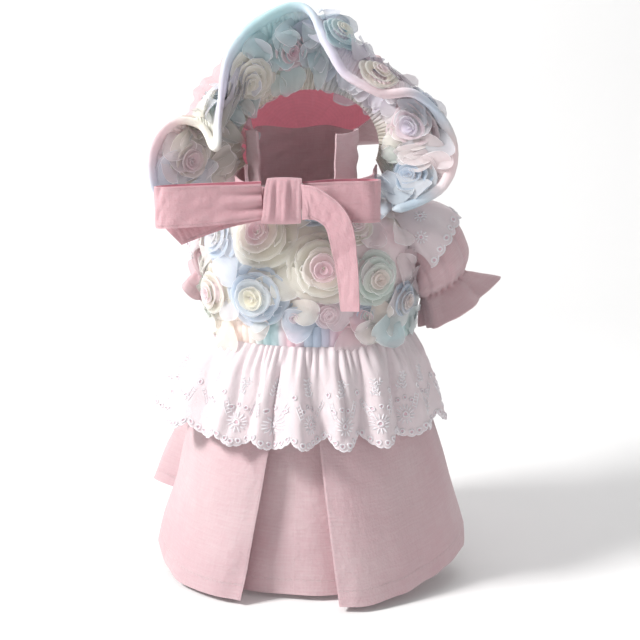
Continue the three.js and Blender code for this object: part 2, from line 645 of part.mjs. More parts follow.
// A ribbon along a curve, its width turned by twist(u) from upright
function ribbon(points, width, steps, { twist = () => 0, slant = () => 0, taper = () => 1 } = {}) {
  const path = new THREE.CatmullRomCurve3(points.map((p) => new THREE.Vector3(...p)));
  const place = (u, v) => {
    const tangent = path.getTangent(u);
    const wide = new THREE.Vector3(0, 0, 1).addScaledVector(tangent, -tangent.z).normalize();
    wide.applyAxisAngle(tangent, rad(twist(u)));
    const point = path.getPoint(u).addScaledVector(wide, width * taper(u) * (v - 0.5));
    return point.addScaledVector(tangent, slant(u) * (v - 0.5));
  };
  return clothWall(place, steps, 1, ribbonCloth);
}

// Knot: the ribbon wrapped once round the middle of the bow
const knotX = bowShift;
const knotY = -bowSet;
const knotZ = -bowDrop;
const knotShape = new THREE.Shape();
const knotCorner = 4;
const quarters = [[1, 1], [-1, 1], [-1, -1], [1, -1]];
quarters.forEach(([x, y], i) => {
  const centreX = x * (knotDepth / 2 - knotCorner);
  const centreY = y * (knotHeight / 2 - knotCorner);
  knotShape.absarc(centreX, centreY, knotCorner, (i * Math.PI) / 2, ((i + 1) * Math.PI) / 2);
});
const knotBody = new THREE.ExtrudeGeometry(knotShape, {
  depth: knotWidth, bevelEnabled: false, curveSegments: 2,
});
knotBody.translate(0, 0, -knotWidth / 2);
knotBody.rotateY(Math.PI / 2);
knotBody.rotateX(Math.PI / 2);
knotBody.rotateZ(Math.PI);
knotBody.translate(knotX, knotY, knotZ);
addPiece(hood, 'bow_knot', knotBody, colour.ribbon);

// Loops: flat on the left, opened out on the right
const knotLeft = knotX - knotWidth / 2 - seamGap * 4;
const knotRight = knotX + knotWidth / 2 + seamGap * 2;
function loopPath(start, loop) {
  return LOOP.map((row) => [
    start + loop.side * loop.length * row.out,
    knotY + 1 - loop.depth * row.on,
    knotZ - loop.sag * row.drop,
  ]);
}
addPiece(hood, 'bow_loop_left', ribbon(loopPath(knotLeft, LEFT_LOOP), ribbonWidth, 16), colour.ribbon);
addPiece(hood, 'bow_loop_right', ribbon(loopPath(knotRight, RIGHT_LOOP), ribbonWidth, 16), colour.ribbon);

// Tails: the right one falls in front of its loop, the left one lies behind its own
function tailPath(rows, start, reach, y, rise) {
  return rows.map((row) => [start + reach * row.out, y - rise * row.on, knotZ - Math.abs(reach) * row.drop]);
}
const tailFront = knotY - RIGHT_LOOP.depth / 2 + seamGap * 2;
const longTail = ribbon(tailPath(LONG_TAIL, knotRight, tailLength, tailFront, tailRise), tailWidth, 10, {
  twist: (u) => tailTwist * u, taper: (u) => 1 - tailTaper * u,
});
addPiece(hood, 'bow_tail_right', longTail, colour.ribbon);
const tailBehind = knotY + 1 + LEFT_LOOP.depth / 2 + ribbonCloth + seamGap * 5;
const shortTail = ribbon(tailPath(SHORT_TAIL, knotLeft, -shortTailLength, tailBehind, 0), tailWidth, 6, {
  slant: (u) => tailSlant * u,
});
addPiece(hood, 'bow_tail_left', shortTail, colour.ribbon);

// Ties: from the bonnet's corners round the front of the neck to the back of the knot
function tie(corner, side) {
  const end = knotY + (knotDepth + ribbonCloth) / 2 + seamGap * 2;
  const from = Math.atan2(Math.abs(corner.x), -corner.y) * side;
  const points = TIE.map((row) => [
    mix(Math.hypot(corner.x, corner.y), -end, row.out) * Math.sin(from * row.turn) + knotX * row.shift,
    -mix(Math.hypot(corner.x, corner.y), -end, row.out) * Math.cos(from * row.turn),
    mix(corner.z - tieWidth / 2 - tieDrop, knotZ, row.down),
  ]);
  return ribbon(points, tieWidth, 10);
}
addPiece(hood, 'neck_tie_left', tie(brimPoint(0, 0), -1), colour.ribbon);
addPiece(hood, 'neck_tie_right', tie(brimPoint(1, 0), 1), colour.ribbon);

// Roses: a heart in rings of petals, a closed solid each. A rose lies on the wall place(u, v), on the
// side that face gives, and follows its curve.
function addRose(group, name, place, rose, wall) {
  const radius = (roseDiameter / 2) * rose.size;
  const normalAt = (u, v) => {
    const along = place(u + 0.005, v).sub(place(u - 0.005, v));
    const down = place(u, v + 0.005).sub(place(u, v - 0.005));
    return { along, down, normal: along.clone().cross(down).normalize().multiplyScalar(rose.face) };
  };
  const middle = normalAt(rose.u, rose.v);
  const right = middle.along.clone().normalize();
  const lean = middle.down.dot(right);
  const deep = middle.down.clone().addScaledVector(right, -lean).length();
  const profile = [...ROSE].reverse().map((ring) => new THREE.Vector2(ring.out * radius, ring.high));
  const geometry = new THREE.LatheGeometry(profile, petals * 2);
  const position = geometry.attributes.position;
  for (let i = 0; i < position.count; i += 1) {
    const turn = Math.atan2(position.getZ(i), position.getX(i));
    const scallop = 1 + petalScallop * Math.cos(petals * turn);
    const dv = (0.01 * position.getZ(i) * scallop * -rose.face) / deep;
    const du = (0.01 * position.getX(i) * scallop - dv * lean) / middle.along.length();
    const { normal } = normalAt(rose.u + du, rose.v + dv);
    const height = wall / 2 + roseSeat + position.getY(i) * roseHeight * rose.size;
    const point = place(rose.u + du, rose.v + dv).addScaledVector(normal, height);
    position.setXYZ(i, point.x, point.y, point.z);
  }
  geometry.computeVertexNormals();
  addPiece(group, name, geometry, colour.rose);
}

BODICE_ROSES.forEach((row, i) => {
  const place = (u, v) => bodicePoint(360 * u, v);
  const rose = { u: row.at / 360, v: row.down, face: -1, size: row.size };
  addRose(model, `rose_bodice_${String(i + 1).padStart(2, '0')}`, place, rose, linen);
});
BRIM_ROSES.forEach((row, i) => {
  const rose = { u: row.along, v: row.across, face: row.face, size: row.size };
  addRose(hood, `rose_brim_${String(i + 1).padStart(2, '0')}`, brimPoint, rose, rosetteCloth);
});

export default model;
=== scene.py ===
"""Looks of the small dog's dress with its bonnet: linen, eyelet lace and chiffon roses round its frame.

Each piece of cloth is drawn from the same surface as its solid, in millimetres, and goes to Blender
in metres.
Angles round the body run from the front (0) towards +X (90). u and v run along and across a piece.
"""

import math

import bpy
import numpy as np
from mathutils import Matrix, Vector


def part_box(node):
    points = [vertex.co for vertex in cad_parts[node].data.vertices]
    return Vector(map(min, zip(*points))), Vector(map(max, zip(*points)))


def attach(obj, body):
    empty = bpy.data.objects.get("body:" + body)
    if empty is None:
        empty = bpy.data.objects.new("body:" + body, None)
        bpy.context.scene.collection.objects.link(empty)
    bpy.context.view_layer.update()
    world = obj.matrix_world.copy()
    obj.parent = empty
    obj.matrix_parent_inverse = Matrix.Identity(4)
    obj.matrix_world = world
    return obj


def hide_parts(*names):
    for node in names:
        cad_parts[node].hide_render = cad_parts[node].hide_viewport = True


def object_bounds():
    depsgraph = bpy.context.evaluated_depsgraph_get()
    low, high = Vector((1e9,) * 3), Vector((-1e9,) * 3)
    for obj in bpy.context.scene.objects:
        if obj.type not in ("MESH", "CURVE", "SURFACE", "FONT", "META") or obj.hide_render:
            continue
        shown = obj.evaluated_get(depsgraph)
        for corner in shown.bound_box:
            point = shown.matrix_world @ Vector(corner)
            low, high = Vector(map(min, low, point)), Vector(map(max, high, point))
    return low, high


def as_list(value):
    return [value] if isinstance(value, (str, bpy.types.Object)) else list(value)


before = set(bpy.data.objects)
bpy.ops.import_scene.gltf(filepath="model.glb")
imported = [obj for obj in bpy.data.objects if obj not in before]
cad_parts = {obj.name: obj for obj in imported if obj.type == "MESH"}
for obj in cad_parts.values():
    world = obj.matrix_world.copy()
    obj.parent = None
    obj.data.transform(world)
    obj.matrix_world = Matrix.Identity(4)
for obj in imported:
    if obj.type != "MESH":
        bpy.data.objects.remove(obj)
cad_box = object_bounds()

MM = 0.001
TAU = 2 * math.pi


# Sizes read from the frame, in millimetres

def size_of(node):
    low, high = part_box(node)
    return [(b - a) / MM for a, b in zip(low, high)]


def low_of(node, axis):
    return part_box(node)[0][axis] / MM


def high_of(node, axis):
    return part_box(node)[1][axis] / MM


LINEN = 1.4
EYELET = 1.2
RIBBON = 1.2
BRIM_WALL = 1.6
PETAL_STANDOFF = 1.0
SEAM_GAP = 0.3
NECK_LEVEL = high_of("bodice", 2)
BODICE_LENGTH = NECK_LEVEL - low_of("bodice", 2)
CHEST_WIDTH = size_of("bodice")[0] - LINEN
CHEST_DEPTH = size_of("bodice")[1] - LINEN
BAND_TOP = high_of("waistband", 2)
BAND_BOTTOM = low_of("waistband", 2)
BAND_WALL = 5.0
SHIRR = 1.2
WAIST_WIDTH = size_of("waistband")[0] - BAND_WALL - SHIRR
WAIST_DEPTH = size_of("waistband")[1] - BAND_WALL - SHIRR
SKIRT_TOP = high_of("skirt", 2)
SKIRT_LENGTH = SKIRT_TOP - low_of("skirt", 2)
PEPLUM_TOP = high_of("peplum_lace", 2)
PEPLUM_LENGTH = PEPLUM_TOP - low_of("peplum_lace", 2)
NECK_WIDTH = 74.0
NECK_DEPTH = 70.0
NECK_SHIFT = -5.0
COLLAR_HEIGHT = high_of("neck_collar", 2) - low_of("neck_collar", 2)
COLLAR_OPENING = 86.0
COLLAR_WAVE = 1.2
PEPLUM_FLARE = 26.0
PEPLUM_LEAN = 5.5
PEPLUM_FOLD = 6.0
SKIRT_FLARE = 45.0
PLEAT_DEPTH = 19.0
PLEAT_TUCK = 4.6
SKIRT_FOLD = 15.0
ARMHOLE_HEIGHT = 42.0
ARMHOLE_WIDTH = 36.0
ARMHOLE_DROP = 33.0
ARMHOLE_ANGLE = 100.0
SLEEVE_REACH = 32.0
SLEEVE_DROP = 50.0
PUFF_RADIUS = 27.0
CUFF_WAVE = 3.4
CUFF_WAVES = 5
CAP_REACH = 0.28
CAP_SPREAD = 105.0
CAP_CLEARANCE = 1.2
CAP_FLUTE = 1.3
CAP_FLUTES = 5
SEAM_WIDTH = 1.0
HOOD_TURN = 8.0
RING_WIDTH = 98.0
RING_HEIGHT = 38.0
RING_SET = 9.0
CROWN_WIDTH = 172.0
CROWN_RISE = 75.0
CROWN_FALL = 38.0
CROWN_SLUMP = 4.0
CROWN_DEPTH = 48.0
CROWN_SET = 44.0
CROWN_SHIFT = -6.0
NAPE_DROP = 26.0
NAPE_SET = NECK_DEPTH / 2 + COLLAR_WAVE * 2 + LINEN / 2
BRIM_RADIUS = 100.0
BRIM_REACH = 60.0
BRIM_STANDOFF = 3.0
EDGE_ROLL = 6.4
RIBBON_WIDTH = 27.0
BOW_SET = 74.0
BOW_DROP = 30.0
BOW_SHIFT = -17.0
KNOT_WIDTH = 24.0
KNOT_HEIGHT = 29.0
KNOT_DEPTH = 13.0
TAIL_LENGTH = 84.0
SHORT_TAIL_LENGTH = 62.0
TAIL_WIDTH = 23.0
TAIL_TAPER = 0.42
TAIL_TWIST = 28.0
TAIL_SLANT = 9.0
TAIL_RISE = 5.0
TIE_WIDTH = 14.0
TIE_DROP = 2.4
ROSE_RADIUS = 20.5
ROSE_HEIGHT = 12.0


# Tables with named columns, the same shapes as the solids have

def table(columns, rows):
    values = np.array(rows, float)
    return {name: values[:, i] for i, name in enumerate(columns.split())}


BODICE = table("down wide", [
    (0.0, 0.0), (0.12, 0.42), (0.27, 0.79), (0.46, 0.97), (0.72, 1.0), (1.0, 0.95),
])

PEPLUM_FRONT = [  # at, out, lift
    (-82, 1.5, 0.12), (-67, -0.5, 0.07), (-55, 0.9, 0.04), (-40, -0.8, 0.02), (-29, 0.8, 0), (-20, -0.6, 0),
    (-13, 0.7, 0), (-7, -0.4, 0), (3, 1.0, 0), (11, -1.3, 0.02), (20, 0.9, 0), (28, -0.8, 0.01), (38, 1.0, 0),
    (51, -1.0, 0.02), (62, 0.9, 0), (76, -0.7, 0.02), (90, 0.7, 0),
]
BACK_FOLDS = 10

SKIRT = table("at waist out tuck short", [
    (0, 0, -0.05, 1, 0), (12, 5.5, 0, 1, 0), (23, 10.5, 0, 1, 0), (17.5, 6.5, 0.05, 0, 0),
    (25, 13, 0.14, 0, 0), (40, 31, 0.02, 0, 0.015), (54, 50, -0.05, 0, 0.04), (66, 65, 0.2, 0, 0.07),
    (78, 78, 0.4, 0, 0.1), (90, 90, 0.36, 0, 0.16), (100, 100, -0.5, 0, 0.24), (112, 112, 0.35, 0, 0.26),
    (126, 126, -0.45, 0, 0.29), (142, 142, 0.3, 0, 0.3), (160, 160, -0.35, 0, 0.31), (180, 180, 0.2, 0, 0.31),
    (200, 200, -0.35, 0, 0.31), (218, 218, 0.3, 0, 0.3), (234, 234, -0.4, 0, 0.29), (252, 247, 1.8, 0, 0.28),
    (263, 259, 1.9, 0, 0.27), (271, 269, -0.4, 0, 0.25), (279, 279, 0.02, 0, 0.13), (288, 289, 0.1, 0, 0.07),
    (302, 304, -0.05, 0, 0.02), (316, 322, 0.04, 0, 0), (335, 347, 0.14, 0, 0), (342.5, 353.5, 0.05, 0, 0),
    (337, 349.5, 0, 1, 0), (348, 354.5, 0, 1, 0),
])

SLEEVE = table("row out down girth turn", [
    (0, 0, 0, 0.74, 0), (1, 0.14, 0.03, 0.9, 9), (2, 0.42, 0.2, 1, 31), (3, 0.56, 0.42, 0.95, 46),
    (4, 0.61, 0.57, 0.84, 54), (5, 0.64, 0.68, 0.68, 58), (6, 0.75, 0.79, 0.78, 58), (7, 1, 1, 1.08, 56),
])
SLEEVES = {
    "right": {"side": 1, "reach": 1, "back": 0, "flat": 1},
    "left": {"side": -1, "reach": 0.62, "back": 34, "flat": 0.66},
}

BRIM = table("row ring crest crestOut crestOn edge edgeOut edgeOn", [
    (0, -122, -114, 0.76, 0.15, -115, 1.02, 0.55), (1, -109, -104, 0.84, 0.32, -103, 1.08, 0.62),
    (2, -97, -93, 0.82, 0.36, -88, 1.04, 0.62), (3, -86, -83, 0.77, 0.25, -78, 0.91, 0.6),
    (4, -76, -74, 0.75, 0.1, -79, 0.72, 0.62), (5, -66, -65, 0.71, 0.14, -90, 0.6, 0.86),
    (6, -55, -53, 0.65, 0.12, -62, 0.67, 0.6), (7, -42, -38, 0.64, 0.22, -39, 0.83, 0.42),
    (8, -25, -21, 0.66, 0.15, -19, 0.92, 0.36), (9, -8, -2, 0.72, 0.08, -2, 0.93, 0.38),
    (10, 8, 12, 0.83, 0.14, 9, 0.67, 0.76), (11, 24, 27, 0.71, 0.22, 26, 0.52, 0.92),
    (12, 41, 43, 0.67, 0.24, 52, 0.58, 0.92), (13, 56, 56, 0.73, 0.26, 62, 0.77, 0.75),
    (14, 70, 71, 0.74, 0.34, 75, 0.89, 0.58), (15, 83, 86, 0.77, 0.38, 90, 0.97, 0.57),
    (16, 95, 98, 0.77, 0.38, 103, 0.95, 0.6), (17, 105, 109, 0.71, 0.34, 114, 0.84, 0.65),
    (18, 114, 119, 0.62, 0.36, 126, 0.68, 0.76),
])

NAPE = table("at out back up", [
    (60, 0.87, 0.2, 0.5), (85, 0.84, 0.66, 0.42), (115, 0.64, 0.94, 0.22), (150, 0.14, 1, -0.12),
    (190, -0.45, 0.96, -0.4), (218, -0.88, 0.72, -0.4), (238, -0.936, 0.36, -0.37),
])

TIE = table("turn out down shift", [
    (0.98, 0, 0, 0.03), (0.8, 0.03, 0.25, 0.16), (0.55, 0.4, 0.45, 0.2), (0.25, 0.85, 0.75, 0.6),
    (0.05, 1, 1, 1),
])
LOOP = table("out on drop", [
    (0, 0.2, 0), (0.4, 0.42, 0.5), (0.9, 0.5, 0.9), (1, 0, 1), (0.9, -0.5, 0.9), (0.4, -0.42, 0.5),
    (0, -0.2, 0),
])
LONG_TAIL = table("out on drop", [
    (0, 0, 0), (0.07, 0.4, 0), (0.25, 1, 0.12), (0.33, 1, 0.42), (0.37, 1, 0.84),
])
SHORT_TAIL = table("out on drop", [(0, 0, 0.03), (0.4, 0, 0.12), (0.75, 0, 0.24), (1, 0, 0.34)])
LEFT_LOOP = {"side": -1, "length": 69, "depth": 10, "sag": 4.4}
RIGHT_LOOP = {"side": 1, "length": 50, "depth": 13, "sag": 0}


# Small maths on arrays

def sin(angle):
    return np.sin(np.radians(angle))


def cos(angle):
    return np.cos(np.radians(angle))


def mix(a, b, share):
    return a + (b - a) * share


def smooth(x, low, high):
    t = np.clip((np.asarray(x, float) - low) / (high - low), 0, 1)
    return t * t * (3 - 2 * t)


def xyz(x, y, z):
    return np.stack(np.broadcast_arrays(x, y, z), axis=-1).astype(float)


def grids(u, v):
    return np.broadcast_arrays(np.asarray(u, float), np.asarray(v, float))


def unit(v):
    return v / np.maximum(np.linalg.norm(v, axis=-1, keepdims=True), 1e-12)


def read(rows, key, column, at):
    """A column of a table read at any place, as a smooth curve through its rows."""
    k, c = rows[key], rows[column]
    n = len(k)
    low, high = np.maximum(np.arange(n) - 1, 0), np.minimum(np.arange(n) + 1, n - 1)
    slope = (c[high] - c[low]) / (k[high] - k[low])
    i = np.clip(np.searchsorted(k, at) - 1, 0, n - 2)
    span = k[i + 1] - k[i]
    t = np.clip((at - k[i]) / span, 0, 1)
    bend = span * t * (1 - t) * (slope[i] * (1 - t) - slope[i + 1] * t)
    return mix(c[i], c[i + 1], t * t * (3 - 2 * t)) + bend


def ripple(seed, u, v, waves):
    """A smooth random field of sines, from -1 to 1, that repeats with u from 0 to 1."""
    draw = np.random.default_rng(seed)
    total = np.zeros(np.broadcast(u, v).shape)
    for _ in range(waves):
        around_u = draw.integers(2, 14)
        along_v = draw.uniform(0.5, 5)
        turn = draw.uniform(0, TAU)
        total = total + np.sin(TAU * around_u * u + TAU * along_v * v + turn)
    return total / math.sqrt(waves) / 1.6


def around(angle, half_width, half_depth, z):
    """Points on an ellipse round the body."""
    return xyz(half_width * sin(angle), -half_depth * cos(angle), z)


def turned(points):
    """From the bonnet's own frame to the dress's."""
    x, y = points[..., 0], points[..., 1]
    c, s = math.cos(math.radians(HOOD_TURN)), math.sin(math.radians(HOOD_TURN))
    return xyz(c * x - s * y, s * x + c * y, points[..., 2])


# The surfaces of the pieces, each a function of u and v

def bodice_point(angle, down):
    wide = read(BODICE, "down", "wide", down)
    half_width = mix(NECK_WIDTH, CHEST_WIDTH, wide) / 2
    half_depth = mix(NECK_DEPTH, CHEST_DEPTH, wide) / 2
    point = around(angle, half_width, half_depth, NECK_LEVEL - BODICE_LENGTH * down)
    point[..., 0] += NECK_SHIFT * (1 - wide)
    return point


def bodice_place(u, v):
    return bodice_point(360 * u, v)


def collar_place(u, v):
    angle = mix(COLLAR_OPENING / 2, 360 - COLLAR_OPENING / 2, u)
    lean = COLLAR_WAVE * v * (1 + cos(angle * 9))
    level = NECK_LEVEL + LINEN / 2 + SEAM_GAP + (COLLAR_HEIGHT - 2 * COLLAR_WAVE) * v
    level = level + COLLAR_WAVE * v * sin(angle * 5)
    point = around(angle, NECK_WIDTH / 2 + lean, NECK_DEPTH / 2 + lean, level)
    point[..., 0] += NECK_SHIFT
    return point


SHIRR_RIBS = 78


def waistband_place(u, v):
    rib = SHIRR / 2 * np.sin(TAU * SHIRR_RIBS * u) * (0.7 + 0.3 * np.sin(TAU * 11 * u))
    swell = 0.7 * np.sin(math.pi * v) ** 2
    out = rib + swell
    return around(360 * u, WAIST_WIDTH / 2 + out, WAIST_DEPTH / 2 + out, mix(BAND_TOP, BAND_BOTTOM, v))


def peplum_rows():
    rows = list(PEPLUM_FRONT)
    last = PEPLUM_FRONT[-1][0]
    step = (360 + PEPLUM_FRONT[0][0] - last) / (2 * BACK_FOLDS)
    for k in range(1, 2 * BACK_FOLDS):
        rows.append((last + step * k, -0.8 if k % 2 else 0.8, 0.02 if k % 2 else 0))
    rows.append((rows[0][0] + 360, *rows[0][1:]))
    return table("at out lift", rows)


PEPLUM = peplum_rows()


def peplum_place(u, v):
    row = np.asarray(u % 1.0) * (len(PEPLUM["at"]) - 1)
    i = np.floor(row).astype(int)
    share = row - i
    blend = share * share * (3 - 2 * share)
    angle = mix(PEPLUM["at"][i], PEPLUM["at"][i + 1], share)
    out = mix(PEPLUM["out"][i], PEPLUM["out"][i + 1], blend)
    length = PEPLUM_LENGTH * (1 - mix(PEPLUM["lift"][i], PEPLUM["lift"][i + 1], blend))
    flare = (PEPLUM_FLARE - PEPLUM_LEAN * sin(angle)) * v ** 0.8 + PEPLUM_FOLD * out * (0.12 + 0.88 * v)
    seat = (BAND_WALL - EYELET) / 2
    out = seat + flare
    return around(angle, WAIST_WIDTH / 2 + out, WAIST_DEPTH / 2 + out, PEPLUM_TOP - length * v)


def skirt_place(u, v):
    count = len(SKIRT["at"])
    row = np.asarray(u % 1.0) * count
    i = np.floor(row).astype(int) % count
    j = (i + 1) % count
    share = row - np.floor(row)
    blend = np.where(SKIRT["tuck"][i] == SKIRT["tuck"][j], share * share * (3 - 2 * share), share)

    def angles(column):
        start, end = SKIRT[column][i], SKIRT[column][j]
        return mix(start, end + np.where(start - end > 180, 360, 0), share)

    angle = mix(angles("waist"), angles("at"), v ** 0.8)
    tuck = mix(SKIRT["tuck"][i], SKIRT["tuck"][j], share) * mix(PLEAT_TUCK, PLEAT_DEPTH, v)
    down = v * (1 - mix(SKIRT["short"][i], SKIRT["short"][j], blend))
    seat = LINEN / 2 - BAND_WALL / 2 + PLEAT_TUCK / 4
    out = seat - tuck + SKIRT_FLARE * down
    out = out + SKIRT_FOLD * down * mix(SKIRT["out"][i], SKIRT["out"][j], blend)
    return around(angle, WAIST_WIDTH / 2 + out, WAIST_DEPTH / 2 + out, SKIRT_TOP - SKIRT_LENGTH * down)


ARMHOLE_LEVEL = NECK_LEVEL - ARMHOLE_DROP


def sleeve_frame(v, sleeve):
    def along(column):
        return read(SLEEVE, "row", column, v * (len(SLEEVE["row"]) - 1))

    side = sleeve["side"]
    heading = ARMHOLE_ANGLE - 90 if side > 0 else 270 - ARMHOLE_ANGLE
    outward = np.array([cos(heading), sin(heading), 0])
    backward = np.array([-sin(heading), cos(heading), 0]) * side
    start = CHEST_WIDTH / 2 + LINEN + SEAM_GAP
    reach = start + SLEEVE_REACH * sleeve["reach"] * along("out")
    centre = reach[..., None] * outward + (sleeve["back"] * along("down"))[..., None] * backward
    centre[..., 2] = ARMHOLE_LEVEL - SLEEVE_DROP * along("down")
    tilt = along("turn") * sleeve["flat"]
    over = sin(tilt)[..., None] * outward + xyz(0, 0, cos(tilt))
    return centre, over, outward, backward, PUFF_RADIUS * along("girth")


def armhole_seam(sleeve, turn, lift):
    high = (ARMHOLE_HEIGHT / 2 + SEAM_WIDTH + lift) * np.cos(turn)
    back = (ARMHOLE_WIDTH / 2 + SEAM_WIDTH + lift) * np.sin(turn)
    angle = sleeve["side"] * (ARMHOLE_ANGLE + np.degrees(back / (CHEST_DEPTH / 2)))
    point = bodice_point(angle, (ARMHOLE_DROP - high) / BODICE_LENGTH)
    outward = sleeve_frame(np.zeros(1), sleeve)[2]
    point = point + outward * (LINEN + SEAM_GAP)
    point[..., 2] += np.maximum(0, high / ARMHOLE_HEIGHT) * LINEN
    return point


def sleeve_surface(sleeve, turn, v, lift):
    turn, v = grids(turn, v)
    centre, over, _, backward, radius = sleeve_frame(v, sleeve)
    wave = CUFF_WAVE * np.cos(CUFF_WAVES * turn) * smooth(v, 0.72, 1)
    flat = mix(1, sleeve["flat"], smooth(v, 0, 0.3))
    point = centre + over * ((radius * flat + wave + lift) * np.cos(turn))[..., None]
    point = point + backward * ((radius + wave + lift) * np.sin(turn))[..., None]
    return mix(point, armhole_seam(sleeve, turn, lift), (1 - smooth(v, 0, 0.2))[..., None])


def ring_point(angle):
    below, side = -cos(angle), sin(angle)
    square = mix(1, 0.4, smooth(below, 0, 0.5))
    height = mix(RING_HEIGHT, NAPE_DROP, smooth(below, -0.2, 0.6))
    depth = mix(RING_SET, NAPE_SET, smooth(below, 0.35, 1))
    return xyz(RING_WIDTH / 2 * np.sign(side) * np.abs(side) ** square, depth, -height * below)


def crown_seam(angle):
    turn = np.asarray(angle, float) % 360
    free = (turn > NAPE["at"][0]) & (turn < NAPE["at"][-1])
    nape = xyz(
        RING_WIDTH / 2 * read(NAPE, "at", "out", turn),
        NAPE_SET * read(NAPE, "at", "back", turn),
        RING_HEIGHT * read(NAPE, "at", "up", turn),
    )
    return np.where(free[..., None], nape, ring_point(angle))


def crown_place(u, v):
    angle = -360 * u + 0 * v
    seam = crown_seam(angle)
    start = -np.degrees(np.arcsin(np.clip((CROWN_SET - seam[..., 1]) / CROWN_DEPTH, -0.9, 0.9)))
    belly = mix(start, 90, v)
    fall = mix(CROWN_FALL, CROWN_SLUMP, smooth(sin(angle), -0.4, 0.5))
    tall = np.where(cos(angle) > 0, CROWN_RISE, fall)
    full = xyz(
        CROWN_WIDTH / 2 * sin(angle) * cos(belly) + CROWN_SHIFT,
        CROWN_SET + CROWN_DEPTH * sin(belly),
        tall * cos(angle) * cos(belly),
    )
    gathers = 0.9 * cos(angle * 46) * smooth(v, 0.02, 0.16) * (1 - smooth(v, 0.3, 0.85))
    gathers = gathers + 1.3 * cos(angle * 18) * smooth(v, 0.02, 0.2) * (1 - smooth(v, 0.5, 1))
    full = full * (1 + gathers / CROWN_RISE)[..., None]
    return turned(mix(seam, full, smooth(v, 0, 0.22)[..., None]))


def polar(angle, radius, y):
    return xyz(radius * sin(angle), y, radius * cos(angle))


def brim_bare(u, v):
    """The brim through its ring, its crest and its edge, in the bonnet's own frame."""
    def along(column):
        return read(BRIM, "row", column, u * (len(BRIM["row"]) - 1))

    ring = ring_point(along("ring"))
    ring[..., 1] -= BRIM_STANDOFF
    crest = polar(along("crest"), BRIM_RADIUS * along("crestOut"), -BRIM_REACH * along("crestOn"))
    edge = polar(along("edge"), BRIM_RADIUS * along("edgeOut"), -BRIM_REACH * along("edgeOn"))
    v = np.asarray(v, float)[..., None]
    return ring * (1 - v) * (1 - 2 * v) + crest * 4 * v * (1 - v) + edge * v * (2 * v - 1)


def brim_place(u, v):
    return turned(brim_bare(u, v))


# Curves through points, and ribbons along them

def curve_through(points, at):
    """A centripetal Catmull-Rom curve through points, read at shares of its length in rows."""
    p = np.array(points, float)
    p = np.vstack([2 * p[0] - p[1], p, 2 * p[-1] - p[-2]])
    gaps = np.maximum(np.linalg.norm(np.diff(p, axis=0), axis=1), 1e-6)
    knots = np.concatenate([[0], np.cumsum(gaps ** 0.5)])
    row = np.clip(np.asarray(at, float), 0, 1) * (len(points) - 1)
    i = np.minimum(np.floor(row).astype(int), len(points) - 2)
    share = row - i
    k = [knots[i + n][..., None] for n in range(4)]
    q = [p[i + n] for n in range(4)]
    t = k[1] + (k[2] - k[1]) * share[..., None]

    def between(a, b, ka, kb):
        return a * (kb - t) / (kb - ka) + b * (t - ka) / (kb - ka)

    a = [between(q[n], q[n + 1], k[n], k[n + 1]) for n in range(3)]
    b = [between(a[n], a[n + 1], k[n], k[n + 2]) for n in range(2)]
    return between(b[0], b[1], k[1], k[2])


def ribbon_place(points, width, twist=None, slant=None, taper=None):
    """A flat ribbon along a curve in the bonnet's frame. twist, slant and taper are functions of u."""
    def place(u, v):
        u, v = grids(u, v)
        step = 0.004
        tangent = unit(curve_through(points, u + step) - curve_through(points, u - step))
        wide = unit(xyz(0, 0, 1) - tangent * tangent[..., 2:3])
        side = np.cross(tangent, wide)
        turn = twist(u) if twist else 0 * u
        wide = wide * cos(turn)[..., None] + side * sin(turn)[..., None]
        full = width * (taper(u) if taper else 1)
        across = (v - 0.5)[..., None]
        point = curve_through(points, u) + wide * across * (full * np.ones_like(u))[..., None]
        if slant:
            point = point + tangent * across * slant(u)[..., None]
        return turned(point)
    return place


KNOT_X, KNOT_Y, KNOT_Z = BOW_SHIFT, -BOW_SET, -BOW_DROP
KNOT_LEFT = KNOT_X - KNOT_WIDTH / 2 - SEAM_GAP * 4
KNOT_RIGHT = KNOT_X + KNOT_WIDTH / 2 + SEAM_GAP * 2


def loop_points(start, loop):
    return [
        (start + loop["side"] * loop["length"] * o, KNOT_Y + 1 - loop["depth"] * on, KNOT_Z - loop["sag"] * d)
        for o, on, d in zip(LOOP["out"], LOOP["on"], LOOP["drop"])
    ]


def tail_points(rows, start, reach, y, rise):
    return [
        (start + reach * o, y - rise * on, KNOT_Z - abs(reach) * d)
        for o, on, d in zip(rows["out"], rows["on"], rows["drop"])
    ]


def tie_points(corner, side):
    end = KNOT_Y + (KNOT_DEPTH + RIBBON) / 2 + SEAM_GAP * 2
    start = math.degrees(math.atan2(abs(corner[0]), -corner[1])) * side
    away = math.hypot(corner[0], corner[1])
    points = []
    for turn, out, down, shift in zip(TIE["turn"], TIE["out"], TIE["down"], TIE["shift"]):
        far = mix(away, -end, out)
        level = mix(corner[2] - TIE_WIDTH / 2 - TIE_DROP, KNOT_Z, down)
        points.append((far * sin(start * turn) + KNOT_X * shift, -far * cos(start * turn), level))
    return points


# Colours, as seen on screen

def tint(r, g, b):
    """A screen colour as the linear numbers that shaders use."""
    share = np.array([r, g, b]) / 255
    return np.where(share <= 0.04045, share / 12.92, ((share + 0.055) / 1.055) ** 2.4)


TONES = {
    "butter": tint(244, 236, 196),
    "white": tint(246, 244, 247),
    "cream": tint(246, 240, 218),
    "peach": tint(246, 218, 204),
    "blush": tint(240, 206, 213),
    "pink": tint(228, 168, 184),
    "lilac": tint(214, 204, 229),
    "sky": tint(184, 209, 234),
    "blue": tint(140, 182, 212),
    "teal": tint(150, 207, 214),
    "mint": tint(206, 228, 214),
}
LINEN_PINK = tint(214, 194, 196)
LINEN_DEEP = tint(204, 171, 177)
LINING_PINK = tint(246, 186, 200)
